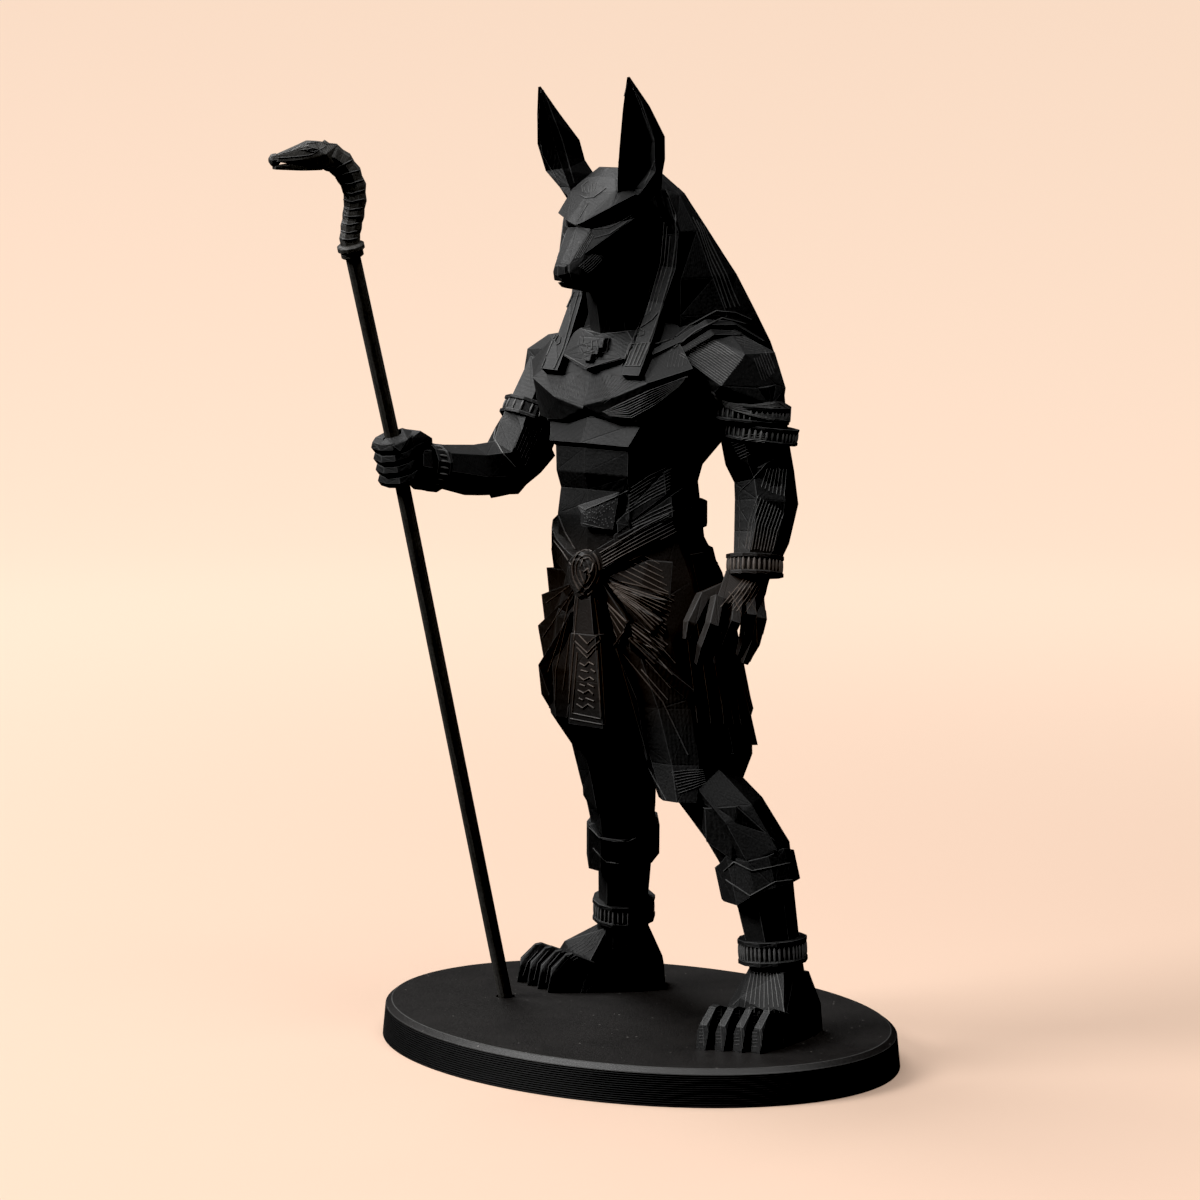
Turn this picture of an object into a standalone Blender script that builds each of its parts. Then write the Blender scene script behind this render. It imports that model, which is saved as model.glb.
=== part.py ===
# Faceted jackal-headed figurine on an oval plinth, with a serpent staff in its right fist.
# All lengths below are millimetres; the figure looks along -Y and stands on the plinth at z = 0.
# The pieces are the plinth ("base"), the whole body cast as one ("figure") and the rod ("staff").

import bmesh
import bpy
import math
from mathutils import Vector

MM = 0.001

# Plinth
BASE_HALF_X = 43.0
BASE_HALF_Y = 31.7
BASE_T = 5.7
BASE_FLARE = 0.5
BASE_RIM_W = 1.0
BASE_RIM_DROP = 0.7
BASE_SIDES = 84
SOCKET_R = 1.5
SOCKET_FLOOR = 2.2

# Rod: it leans forward through the fist and kinks by about one degree at the grip
STAFF_FOOT = Vector((-22.68, -5.24, BASE_T))
STAFF_GRIP = Vector((-20.2, -32.95, 94.2))
STAFF_TOP = Vector((-19.74, -42.92, 125.0))
STAFF_R = 1.16
GRIP_BORE_R = 1.46
STAFF_FOOT_Z = 2.6

# Middle plane of the head and of the trunk
HEAD_X = 0.5
TRUNK_X = 0.3


def clear_scene():
    for ob in list(bpy.data.objects):
        bpy.data.objects.remove(ob, do_unlink=True)


def finish_mesh(name, bm):
    bmesh.ops.remove_doubles(bm, verts=bm.verts, dist=0.0005 * MM)
    bmesh.ops.recalc_face_normals(bm, faces=bm.faces)
    me = bpy.data.meshes.new(name)
    bm.to_mesh(me)
    bm.free()
    ob = bpy.data.objects.new(name, me)
    bpy.context.scene.collection.objects.link(ob)
    return ob


def hull(name, points):
    """Closed faceted chunk: the convex skin of a few named points."""
    bm = bmesh.new()
    for p in points:
        bm.verts.new(Vector(p) * MM)
    res = bmesh.ops.convex_hull(bm, input=bm.verts)
    drop = [g for g in res["geom_interior"] if isinstance(g, bmesh.types.BMVert)]
    drop += [g for g in res["geom_unused"] if isinstance(g, bmesh.types.BMVert)]
    if drop:
        bmesh.ops.delete(bm, geom=list(set(drop)), context="VERTS")
    return finish_mesh(name, bm)


def loft(name, rings):
    """Closed skin through rings of equal count, with flat fans at both ends."""
    bm = bmesh.new()
    grid = []
    for ring in rings:
        grid.append([bm.verts.new(Vector(p) * MM) for p in ring])
    n = len(grid[0])
    for lower, upper in zip(grid, grid[1:]):
        for i in range(n):
            j = (i + 1) % n
            bm.faces.new((lower[i], lower[j], upper[j]))
            bm.faces.new((lower[i], upper[j], upper[i]))
    for ring in (grid[0], grid[-1]):
        centre = sum((v.co for v in ring), Vector()) / n
        hub = bm.verts.new(centre)
        for i in range(n):
            bm.faces.new((ring[i], ring[(i + 1) % n], hub))
    return finish_mesh(name, bm)


def cross_axes(along, front):
    """Side and front unit vectors across a limb direction."""
    d = Vector(along).normalized()
    f = Vector(front)
    f = (f - d * f.dot(d)).normalized()
    s = d.cross(f).normalized()
    return s, f


def limb_rings(stations, sides, front, turn=0.0):
    """Rings across a bent limb; a station is (centre, half width, half depth)."""
    pts = [Vector(s[0]) for s in stations]
    rings = []
    for i, (centre, half_w, half_d) in enumerate(stations):
        a = pts[max(i - 1, 0)]
        b = pts[min(i + 1, len(pts) - 1)]
        s, f = cross_axes(b - a, front)
        ring = []
        for k in range(sides):
            ang = math.radians(turn) + 2 * math.pi * k / sides
            ring.append(pts[i] + s * (half_w * math.cos(ang)) + f * (half_d * math.sin(ang)))
        rings.append(ring)
    return rings


def limb(name, stations, sides=6, front=(0, -1, 0), turn=0.0):
    return loft(name, limb_rings(stations, sides, front, turn))


def ring_band(name, centre, along, front, half_w, half_d, height, rim, sides=12):
    """Bracelet: a ring with a shallow waist between two rims."""
    c = Vector(centre)
    d = Vector(along).normalized()
    s, f = cross_axes(d, front)
    rings = []
    for level, grow in ((-0.5, -1.0), (-0.5, rim), (-0.32, rim), (-0.26, rim - 0.25), (0.26, rim - 0.25),
                        (0.32, rim), (0.5, rim), (0.5, -1.0)):
        ring = []
        for k in range(sides):
            ang = 2 * math.pi * (k + 0.5) / sides
            ring.append(c + d * (level * height)
                        + s * ((half_w + grow) * math.cos(ang)) + f * ((half_d + grow) * math.sin(ang)))
        rings.append(ring)
    return loft(name, rings)


def boolean(target, tool, mode, solver="EXACT"):
    mod = target.modifiers.new("join", "BOOLEAN")
    mod.operation = mode
    mod.solver = solver
    mod.object = tool
    bpy.context.view_layer.update()
    graph = bpy.context.evaluated_depsgraph_get()
    me = bpy.data.meshes.new_from_object(target.evaluated_get(graph))
    target.modifiers.clear()
    old = target.data
    target.data = me
    bpy.data.meshes.remove(old)
    bpy.data.objects.remove(tool, do_unlink=True)


def tidy(ob, degrees):
    """Drop the needless splits that joining leaves on flat facets."""
    bm = bmesh.new()
    bm.from_mesh(ob.data)
    bmesh.ops.remove_doubles(bm, verts=bm.verts, dist=0.002 * MM)
    bmesh.ops.dissolve_limit(bm, angle_limit=math.radians(degrees), verts=bm.verts, edges=bm.edges)
    bmesh.ops.triangulate(bm, faces=bm.faces)
    bm.to_mesh(ob.data)
    bm.free()


def merge_all(name, chunks, flat=1.0):
    body = chunks[0]
    for chunk in chunks[1:]:
        boolean(body, chunk, "UNION", "MANIFOLD")
    body.name = name
    body.data.name = name
    tidy(body, flat)
    return body


# Trunk: rows of (height, front middle y, front corner x and y, side x and y, back corner x and y, back y)
TRUNK_ROWS = [
    (70.0, -10.0, 7.5, -8.5, 10.5, 0.5, 8.0, 8.5, 9.5),
    (79.0, -12.6, 7.2, -10.9, 10.0, -1.5, 7.4, 7.0, 8.2),
    (85.0, -12.8, 7.0, -11.3, 9.6, -2.0, 6.8, 6.6, 7.4),
    (89.0, -12.5, 6.7, -10.9, 9.0, -1.5, 6.4, 6.4, 7.2),
    (91.6, -13.4, 7.0, -11.6, 9.4, -1.3, 7.0, 6.8, 7.4),
    (95.4, -13.2, 7.1, -11.6, 11.0, -0.2, 9.2, 9.2, 9.3),
    (96.2, -14.1, 7.7, -12.4, 11.8, 0.0, 10.4, 10.2, 10.2),
    (100.0, -12.6, 9.0, -10.4, 13.6, 1.0, 11.6, 10.8, 11.0),
    (106.0, -10.5, 10.5, -8.4, 14.5, 1.5, 12.0, 11.0, 10.8),
    (112.3, -6.5, 5.0, -6.0, 9.5, 1.5, 8.5, 9.0, 9.4),
]


def trunk():
    rings = []
    for z, yf, xc, yc, xs, ys, xb, yb, yk in TRUNK_ROWS:
        half = [(xc, yc, z - 0.3), (xs, ys, z - 0.4), (xb, yb, z)]
        right = [(TRUNK_X + p[0], p[1], p[2]) for p in half]
        left = [(TRUNK_X - p[0], p[1], p[2]) for p in reversed(half)]
        rings.append([(TRUNK_X, yf, z)] + right + [(TRUNK_X, yk, z)] + left)
    return loft("trunk", rings)


# One breast plate for the figure's left, mirrored for its right: ridge, lower edge, then top and root
PEC = [(0.0, -13.7, 101.6), (5.5, -13.7, 103.0), (11.2, -12.1, 105.5), (15.8, -7.0, 107.6),
       (0.0, -12.6, 100.2), (4.8, -12.9, 99.5), (8.9, -11.6, 99.3), (12.0, -9.4, 99.4),
       (14.6, -5.0, 101.4), (0.0, -10.6, 109.0), (6.5, -9.6, 110.4), (12.6, -6.0, 111.0),
       (13.5, -1.0, 104.0), (0.0, -4.0, 104.0)]


def chest():
    out = []
    for side in (1, -1):
        pts = [(TRUNK_X + side * p[0], p[1], p[2] + 0.25 * side) for p in PEC]
        out.append(hull("breast", pts))
    # Belly: small V plate, and two diagonal wraps between it and the figure's left hip
    vplate = [(-1.4, -13.0, 86.4), (0.0, -13.7, 85.4), (6.3, -12.4, 89.0), (5.3, -12.7, 83.2),
              (0.2, -13.9, 83.4)]
    out.append(hull("belly_plate", vplate + [(p[0], p[1] + 2.0, p[2]) for p in vplate]))
    for low, high, top in (((5.8, -12.4, 84.4), (10.2, -6.4, 91.6), (9.8, -2.6, 92.4)),
                           ((5.6, -12.9, 82.4), (11.2, -6.0, 88.2), (11.0, -2.6, 89.2))):
        a, b, c = Vector(low), Vector(high), Vector(top)
        fall = Vector((0.6, -0.3, -3.2))
        pts = [a, b, c, a + fall * 0.5, b + fall, c + fall]
        out.append(hull("wrap", pts + [Vector((p.x * 0.72, p.y * 0.72, p.z)) for p in pts]))
    return out


def shoulder(side):
    """Deltoid chunk over one arm root; the two sides differ a little in height."""
    if side > 0:
        pts = [(12.1, -5.8, 109.8), (12.8, 0.0, 112.4), (13.0, 5.0, 113.3), (20.4, 0.2, 109.8),
               (20.6, 7.4, 109.6), (19.8, -4.8, 105.3), (23.3, 6.6, 104.4), (23.5, 3.2, 102.0),
               (14.2, -4.0, 101.0), (15.2, 9.5, 104.0), (21.8, 1.0, 100.2), (20.5, 9.6, 101.0),
               (14.0, 3.0, 100.0)]
        return hull("shoulder_left", pts)
    pts = [(-11.0, -5.6, 109.4), (-12.0, -0.5, 111.6), (-12.0, 5.0, 112.0), (-16.8, -1.4, 110.9),
           (-18.4, 3.6, 108.6), (-19.8, -2.9, 108.6), (-19.6, -3.4, 106.0), (-19.8, 1.4, 103.6),
           (-19.6, -5.0, 101.2), (-14.0, -6.6, 101.6), (-14.5, 6.0, 102.0), (-16.0, -7.6, 98.5),
           (-13.6, 0.0, 97.0), (-19.4, -1.0, 98.4)]
    return hull("shoulder_right", pts)


ARM_L = [((18.0, 4.0, 104.5), 5.4, 5.6), ((18.6, 4.4, 98.0), 5.3, 5.6), ((18.8, 5.2, 94.0), 5.1, 5.6),
         ((19.7, 5.8, 90.6), 4.6, 5.2), ((20.4, 5.4, 86.8), 5.0, 5.2), ((20.6, 4.0, 81.5), 4.3, 4.7),
         ((20.9, 2.0, 77.5), 3.2, 3.8)]
ARM_R = [((-16.0, -0.5, 105.0), 4.6, 5.0), ((-17.1, -4.2, 99.0), 4.4, 4.8),
         ((-17.6, -7.0, 94.6), 4.5, 5.2), ((-18.0, -11.0, 90.6), 4.2, 4.7),
         ((-18.5, -17.5, 90.8), 4.0, 4.1), ((-19.4, -25.0, 92.2), 3.1, 3.3),
         ((-19.9, -29.8, 93.2), 2.7, 3.0)]


def arms():
    out = [limb("arm_left", ARM_L, 7, (0, -1, 0), 12), limb("arm_right", ARM_R, 7, (0, -0.2, -1), 10)]
    out.append(hull("elbow_right", [(-18.5, -13.2, 86.2), (-17.3, -8.6, 86.7), (-15.8, -4.4, 89.6),
                                    (-14.4, -2.6, 92.2), (-14.2, -6.0, 97.0), (-20.2, -5.0, 97.0),
                                    (-21.2, -9.6, 95.2), (-20.6, -13.6, 93.6), (-21.0, -12.0, 88.6),
                                    (-15.4, -12.4, 89.4), (-14.8, -8.0, 88.8), (-20.6, -7.4, 90.4)]))
    out.append(hull("elbow_left", [(17.0, 8.6, 92.0), (20.6, 10.4, 90.0), (24.0, 6.4, 89.6),
                                   (23.6, 8.6, 86.4), (20.0, 10.0, 86.0), (17.0, 3.0, 90.4),
                                   (16.0, 5.4, 88.4), (22.2, 1.4, 92.6), (24.0, 3.6, 94.2),
                                   (18.4, 1.8, 93.4), (20.2, 1.6, 88.0), (16.2, 5.0, 85.6),
                                   (24.6, 4.4, 87.6)]))
    out.append(ring_band("armlet_left", (18.2, 3.9, 100.5), (0.05, 0.1, 1), (0, -1, 0), 5.3, 5.7, 2.6, 1.0))
    out.append(ring_band("armlet_left_low", (19.6, 4.7, 97.5), (0.08, 0.12, 1), (0, -1, 0), 5.4, 5.4, 2.5,
                         0.8))
    out.append(ring_band("armlet_right", (-17.0, -4.6, 98.4), (-0.1, -0.5, -1), (0, -1, 0.4), 4.4, 4.7,
                         2.8, 0.8))
    out.append(ring_band("cuff_left", (21.0, 2.1, 77.5), (0.12, -0.2, -1), (0, -1, 0), 3.3, 3.9, 3.2, 0.9))
    out.append(ring_band("cuff_right", (-19.5, -26.6, 92.2), (0, -1, 0.2), (0, -0.2, -1), 2.9, 3.1, 3.4,
                         0.7))
    return out


def open_hand():
    """Left hand hanging: back of the hand, thumb and four spread fingers."""
    out = [hull("palm", [(19.2, -2.6, 77.2), (22.2, 4.6, 76.0), (18.8, 0.6, 77.2), (19.8, 5.4, 73.4),
                         (21.6, -8.4, 72.9), (23.0, -4.2, 72.8), (22.8, -0.6, 72.4), (21.8, 3.0, 71.6),
                         (19.0, -3.6, 74.6), (19.4, -6.6, 71.6), (19.6, 2.4, 69.6), (22.6, 0.6, 70.4),
                         (23.4, 0.6, 76.0)])]
    digits = (("thumb", [(19.6, -2.4, 74.8), (18.8, -7.9, 73.5), (18.7, -10.8, 69.9), (18.6, -11.5, 67.6)],
               1.25),
              ("index", [(21.0, -7.0, 73.6), (22.0, -9.6, 69.9), (20.8, -10.2, 66.6), (19.6, -10.0, 63.8)],
               1.2),
              ("middle", [(22.0, -3.8, 73.4), (23.4, -6.2, 70.0), (22.4, -7.2, 66.6), (20.9, -7.1, 63.6)],
               1.25),
              ("ring", [(21.8, -0.6, 73.0), (23.2, -2.0, 70.6), (22.9, -2.3, 67.6), (21.6, -2.4, 64.4)],
               1.3),
              ("little", [(21.2, 2.4, 72.4), (22.4, 1.4, 69.6), (22.0, 0.6, 66.0), (20.6, 0.2, 62.8)],
               1.4))
    for name, path, r in digits:
        stations = [(p, r * g, r * g) for p, g in zip(path, (0.95, 1.0, 0.9, 0.5))]
        out.append(limb(name, stations, 5, (1, 0, 0), 18))
    return out


def fist():
    """Right hand closed round the rod: four stacked fingers, thumb and palm block."""
    axis = (STAFF_GRIP - STAFF_FOOT).normalized()
    side, front = cross_axes(axis, (0, -1, 0))
    out = []
    c = STAFF_GRIP - axis * 0.2
    back = c - front * 1.2
    palm = []
    for a, w, d0, d1 in ((2.9, 2.3, -0.2, 3.2), (1.0, 2.8, 0.2, 5.0), (-3.4, 2.5, -0.2, 4.4)):
        for sx in (-1, 1):
            palm.append(back + axis * a + side * (sx * w) + front * d0)
            palm.append(back + axis * a + side * (sx * w * 0.75) - front * d1)
    out.append(hull("palm_right", palm))
    for k in range(4):
        mid = c + axis * (2.5 - 1.82 * k)
        reach = 3.3 - 0.22 * abs(k - 1.3)
        pts = []
        for h, g in ((-0.86, 0.93), (0.0, 1.04), (0.86, 0.93)):
            pts += [mid + axis * h + side * (2.9 * g) + front * 0.4,
                    mid + axis * h + side * (1.9 * g) + front * (2.4 * g),
                    mid + axis * h - side * 0.2 + front * (reach * g),
                    mid + axis * h - side * (2.4 * g) + front * (2.4 * g),
                    mid + axis * h - side * (3.3 * g) + front * 0.6,
                    mid + axis * h - side * (3.2 * g) - front * 1.8,
                    mid + axis * h + side * 2.6 - front * 1.4]
        out.append(hull("grip_finger", pts))
    top = c + axis * 3.5
    out.append(hull("grip_thumb", [top - side * 2.7 - front * 2.4 - axis * 0.4,
                                   top + side * 1.6 - front * 2.8, top + side * 3.2 + front * 0.2,
                                   top + side * 1.9 + front * 2.3 - axis * 0.3,
                                   top - side * 0.6 + front * 2.9 - axis * 0.5,
                                   top + side * 0.2 + front * 1.0 + axis * 0.7,
                                   top + side * 0.6 - front * 1.8 + axis * 0.8,
                                   top - axis * 1.4 + side * 2.8 + front * 1.8,
                                   top - axis * 1.4 - side * 2.2 + front * 2.2,
                                   top - axis * 1.4 - side * 2.8 - front * 1.0]))
    return out


# Legs: (centre, half width, half depth)
LEG_R = [((-6.2, -0.4, 62.0), 6.8, 7.0), ((-7.4, 2.0, 50.0), 6.0, 6.6), ((-7.5, 3.6, 43.6), 5.9, 5.9),
         ((-7.3, 5.4, 37.5), 5.8, 5.7), ((-8.6, 7.4, 32.0), 5.0, 5.0), ((-10.2, 9.6, 25.4), 4.1, 4.4),
         ((-12.0, 11.4, 18.5), 3.8, 4.1), ((-12.4, 11.8, 13.0), 3.9, 4.6)]
LEG_L = [((6.6, -0.6, 62.0), 7.0, 7.4), ((10.8, -0.4, 52.0), 6.4, 6.8), ((13.8, -1.6, 44.0), 5.2, 5.6),
         ((18.4, 0.2, 38.5), 5.6, 5.8), ((21.6, 1.7, 33.0), 5.6, 5.9), ((23.0, 2.4, 26.0), 4.6, 4.8),
         ((24.2, 2.9, 19.0), 4.1, 4.3), ((24.8, 3.2, 13.0), 4.3, 4.9)]


def greave(name, centre, along, front, half, height, dip):
    """Plain band under the knee, its upper edge a zigzag that dips at the middle of the shin."""
    c = Vector(centre)
    d = Vector(along).normalized()
    s, f = cross_axes(d, front)
    n = 12
    rings = []
    for level, grow in ((0.0, 0.0), (0.0, 0.9), (1.0, 0.9), (1.0, 0.0)):
        ring = []
        for k in range(n):
            ang = 2 * math.pi * k / n
            front_ness = max(0.0, math.sin(ang))
            notch = dip * (1.0 if k % 3 == 0 else -0.35) * (0.4 + 0.6 * front_ness)
            h = level * height + (notch if level > 0.5 else -0.6 * notch - 1.2 * front_ness)
            ring.append(c + d * h + s * ((half + grow) * math.cos(ang))
                        + f * ((half * 1.06 + grow) * math.sin(ang)))
        rings.append(ring)
    return loft(name, rings)


def legs():
    out = [limb("leg_right", LEG_R, 7, (-0.5, -1, 0), 13), limb("leg_left", LEG_L, 7, (0, -1, 0), 13)]
    # Knee caps
    out.append(hull("knee_left", [(14.6, -4.4, 41.4), (18.0, -6.2, 41.0), (22.0, -3.4, 41.4),
                                  (19.6, 2.0, 41.4), (18.0, -5.8, 35.8), (26.2, 0.6, 36.0),
                                  (21.8, -4.6, 33.4), (27.0, 3.2, 33.0), (16.8, 0.0, 34.6),
                                  (19.0, 3.0, 38.6)]))
    out.append(hull("knee_right", [(-11.6, 0.2, 44.0), (-7.6, -2.6, 43.4), (-2.6, 1.0, 43.4),
                                   (-12.2, 1.4, 38.4), (-7.6, -0.8, 37.0), (-3.0, 2.6, 38.0),
                                   (-8.5, 5.0, 42.0), (-9.0, 2.0, 33.6)]))
    out.append(greave("greave_left", (22.5, 2.0, 28.0), (-0.3, 0.02, 1), (0, -1, 0), 5.3, 4.8, 1.1))
    out.append(greave("greave_right", (-9.6, 8.2, 28.6), (0.25, -0.3, 1), (-0.5, -1, 0), 4.7, 5.6, 0.9))
    out.append(ring_band("anklet_left", (24.1, 3.0, 18.5), (-0.06, 0, 1), (0, -1, 0), 4.4, 4.4, 3.8, 1.0))
    out.append(ring_band("anklet_right", (-12.0, 11.4, 18.8), (0.12, -0.15, 1), (-0.5, -1, 0), 3.9, 4.1,
                         3.6, 1.0))
    return out


def foot(name, heel, toes, ankle, width, slant):
    """Broad foot: hull of heel, instep and ball, then four ridged toes; the first toe is the longest."""
    h = Vector((heel[0], heel[1], BASE_T - 0.5))
    t = Vector((toes[0], toes[1], BASE_T - 0.5))
    f = (t - h).normalized()
    up = Vector((0, 0, 1))
    s = up.cross(f)
    length = (t - h).length
    shin = Vector((ankle[0] - h.x, ankle[1] - h.y, 0))
    k = shin.dot(f)
    m = shin.dot(s) * 0.8
    step = 2.0 * width / 4
    body = []
    for sx in (-1, 1):
        ball = length - (0.0 if sx < 0 else 3.0 * slant) - 5.2
        body += [h + s * (sx * 2.8), h + s * (sx * 2.6) + up * 4.8 + f * 0.3,
                 h + s * (sx * 4.4) + f * 4.6, h + s * (m + sx * 3.0) + f * (k - 3.6) + up * 9.8,
                 h + s * (m + sx * 3.2) + f * (k + 3.2) + up * 10.8, h + s * (sx * width) + f * ball,
                 h + s * (sx * (width - 0.6)) + f * (ball - 1.0) + up * 4.6,
                 h + s * (sx * (width * 0.45)) + f * (ball - 2.4) + up * 7.4]
    out = [hull(name, body)]
    for i in range(4):
        x = -width + step * (i + 0.5)
        tip = h + s * x + f * (length - slant * i)
        w = step * 0.4
        pts = []
        for sx in (-1, 1):
            pts += [tip - f * 7.5 + s * (sx * w), tip - f * 7.5 + s * (sx * w * 0.8) + up * 5.4,
                    tip - f * 3.9 + s * (sx * w * 0.55) + up * 6.8,
                    tip - f * 2.9 + s * (sx * w * 0.55) + up * 6.6,
                    tip - f * 0.6 + s * (sx * w * 0.6) + up * 4.3,
                    tip - f * 0.5 + s * (sx * w) + up * 3.2, tip + s * (sx * w * 0.8) + up * 0.6,
                    tip + s * (sx * w * 0.8)]
        out.append(hull("toe", pts))
    return out


# Kilt: two skirts that share the waist; rows of (height, centre x, centre y, half width, half depth)
SKIRT_R = [(47.2, -5.8, 0.6, 4.8, 7.2), (52.8, -6.2, -0.8, 7.0, 9.8), (61.0, -4.8, -1.4, 9.1, 11.0),
           (69.0, -3.2, -1.6, 10.1, 11.4), (77.0, -1.2, -1.4, 10.7, 11.0), (81.4, 0.0, -1.8, 10.4, 10.2)]
SKIRT_L = [(41.8, 13.2, -1.7, 5.2, 7.2), (47.4, 11.3, 0.8, 7.6, 9.4), (56.0, 8.8, 1.2, 9.2, 10.6),
           (66.0, 5.8, 0.4, 9.8, 11.7), (75.0, 2.6, -0.2, 10.8, 11.6), (81.7, 0.6, -1.6, 10.4, 10.0)]


def skirt_point(rows, z, ang, lift=0.0):
    """Point on a skirt at a height and an angle from its front, measured to the figure's left."""
    lo, hi = rows[0], rows[-1]
    for a, b in zip(rows, rows[1:]):
        if a[0] <= z <= b[0]:
            lo, hi = a, b
    t = min(max((z - lo[0]) / (hi[0] - lo[0]), 0.0), 1.0)
    cx, cy, rx, ry = [lo[i] + (hi[i] - lo[i]) * t for i in (1, 2, 3, 4)]
    a = math.radians(ang)
    return Vector((cx + (rx + lift) * math.sin(a), cy - (ry + lift) * math.cos(a), z))


def skirts():
    out = []
    for name, rows, n in (("skirt_right", SKIRT_R, 12), ("skirt_left", SKIRT_L, 12)):
        rings = []
        for row in rows:
            rings.append([skirt_point(rows, row[0], 360.0 * k / n + 15) for k in range(n)])
        out.append(loft(name, rings))
    return out


def plate(rows, corners, sink=-2.0):
    """Thin overlapping plate on a skirt: corners are (angle, height, how far it stands proud)."""
    pts = []
    for ang, z, up in corners:
        pts.append(skirt_point(rows, z, ang, up))
        pts.append(skirt_point(rows, z, ang, sink))
    return hull("plate", pts)


def pleats():
    # Figure's left front: plates that fan out from the buckle, upper edges proud
    out = [plate(SKIRT_L, [(10, 76.0, 0.8), (44, 78.6, 1.0), (62, 78.2, 1.0), (52, 73.0, 1.2),
                           (30, 74.0, 0.6)]), plate(SKIRT_L, [(8, 75.6, 0.9), (30, 73.4, 1.2), (50, 72.6,
                                                                                                1.5),
                                                              (44, 70.4, 0.6), (24, 71.6, 0.4)]),
           plate(SKIRT_L, [(6, 75.2, 1.0), (26, 71.6, 1.3), (43, 69.6, 1.6), (31, 67.4, 0.5)]),
           plate(SKIRT_L, [(3, 75.0, 1.1), (17, 69.4, 1.7), (-3, 65.4, 0.4), (0, 71.0, 0.6)]),
           plate(SKIRT_L, [(17, 69.0, 1.2), (31, 66.4, 1.4), (34, 64.4, 1.2), (15, 67.2, 0.4)]),
           plate(SKIRT_L, [(12, 66.8, 1.0), (52, 59.0, 1.2), (44, 57.4, 0.3), (8, 65.0, 0.3)])]
    # Front edge fold of the left skirt
    out.append(plate(SKIRT_L, [(-6, 66.0, 0.9), (-34, 56.5, 1.2), (-52, 47.6, 1.0), (-20, 47.4, 0.4),
                               (-4, 57.0, 0.3)]))
    # Figure's right front: each pleat bows round the hip, so it is built in two lengths
    for z0, zm, z1, drop, end in ((77.4, 79.0, 78.0, 3.6, -84), (76.2, 76.0, 73.4, 4.4, -84),
                                  (75.0, 71.8, 67.0, 5.2, -82), (73.6, 67.0, 60.0, 5.6, -76),
                                  (70.0, 61.0, 55.4, 5.0, -58)):
        mid = end * 0.5
        out.append(plate(SKIRT_R, [(4, z0, 0.8), (mid, zm, 1.4), (mid + 4, zm - drop, 0.2),
                                   (4, z0 - 1.0, 0.2)]))
        out.append(plate(SKIRT_R, [(mid, zm, 1.4), (end, z1, 1.5), (end + 4, z1 - drop, 0.2),
                                   (mid + 4, zm - drop, 0.2)]))
    # Sides and back: plainer vertical pleats with stepped hems
    for i in range(7):
        a0 = 82 + 25 * i
        rows = SKIRT_L if a0 < 190 else SKIRT_R
        low = (48.8, 53.4)[i % 2]
        out.append(plate(rows, [(a0, 79.0, 0.5), (a0 + 24, 79.0, 0.5), (a0 + 22, low + 1.0, 0.4),
                                (a0 - 2, low, 0.9)]))
    return out


def strip(name, path, normal, width, thick):
    """Flat strap along a path; the width direction lies across path and normal."""
    rings = []
    pts = [Vector(p) for p in path]
    for i, p in enumerate(pts):
        d = (pts[min(i + 1, len(pts) - 1)] - pts[max(i - 1, 0)]).normalized()
        nrm = Vector(normal[i])
        nrm = (nrm - d * nrm.dot(d)).normalized()
        w = d.cross(nrm).normalized()
        h = width[i] / 2
        rings.append([p + w * h + nrm * thick, p - w * h + nrm * thick, p - w * h - nrm * 1.6,
                      p + w * h - nrm * 1.6])
    return loft(name, rings)


def around(cx, cy, rx, ry, z, ang):
    a = math.radians(ang)
    return Vector((cx + rx * math.sin(a), cy - ry * math.cos(a), z))


def belt():
    """Sash that rises from the buckle round both hips, the buckle, and the apron below it."""
    out = []
    n = 24
    rings = []
    for k in range(n):
        ang = 360.0 * k / n
        swing = min(ang, 360.0 - ang)
        z = 76.4 + (8.0 if 0.0 < ang <= 180.0 else 5.8) * math.sin(math.radians(min(swing, 90.0)))
        up = Vector((0, 0, 1.9))
        o = around(0.0, -2.1, 11.9, 12.2, z, ang)
        i = around(0.0, -2.1, 6.5, 6.5, z, ang)
        rings.append([o - up, o + up * 0.9, i + up * 0.9, i - up])
    bm = bmesh.new()
    grid = [[bm.verts.new(p * MM) for p in ring] for ring in rings]
    for a in range(n):
        b = (a + 1) % n
        for j in range(4):
            k = (j + 1) % 4
            bm.faces.new((grid[a][j], grid[a][k], grid[b][k], grid[b][j]))
    out.append(finish_mesh("sash", bm))
    # Buckle: drop-shaped disc with a raised rim, point down
    cx, cy, cz = 0.6, -14.2, 76.3
    for half_w, half_h, front in ((2.6, 3.4, -0.9), (1.9, 2.6, -1.25)):
        ring = []
        for k in range(20):
            a = 2 * math.pi * k / 20
            w = half_w * math.sin(a)
            h = half_h * math.cos(a)
            if h < 0:
                w *= 1.0 - 0.45 * (h / half_h) ** 2
                h *= 1.18
            ring.append((w, h))
        rings = [[(cx + w * s, cy + y, cz + h * s) for w, h in ring]
                 for y, s in ((3.5, 1.0), (front + 0.5, 1.0), (front, 0.88))]
        out.append(loft("buckle", rings))
    # Apron: strip from the buckle, then a wider framed panel
    strap = [(0.7, -13.8, 75.0), (0.9, -14.1, 72.5), (1.2, -14.3, 66.6)]
    out.append(strip("apron_strip", strap, [(0, -1, 0)] * 3, [2.6, 3.2, 4.2], 0.5))
    panel = [(1.5, -14.3, 67.2), (1.6, -14.3, 60.0), (1.5, -13.6, 53.0)]
    out.append(strip("apron_panel", panel, [(0, -1, 0)] * 3, [4.8, 5.8, 6.8], 0.9))
    return out


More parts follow.
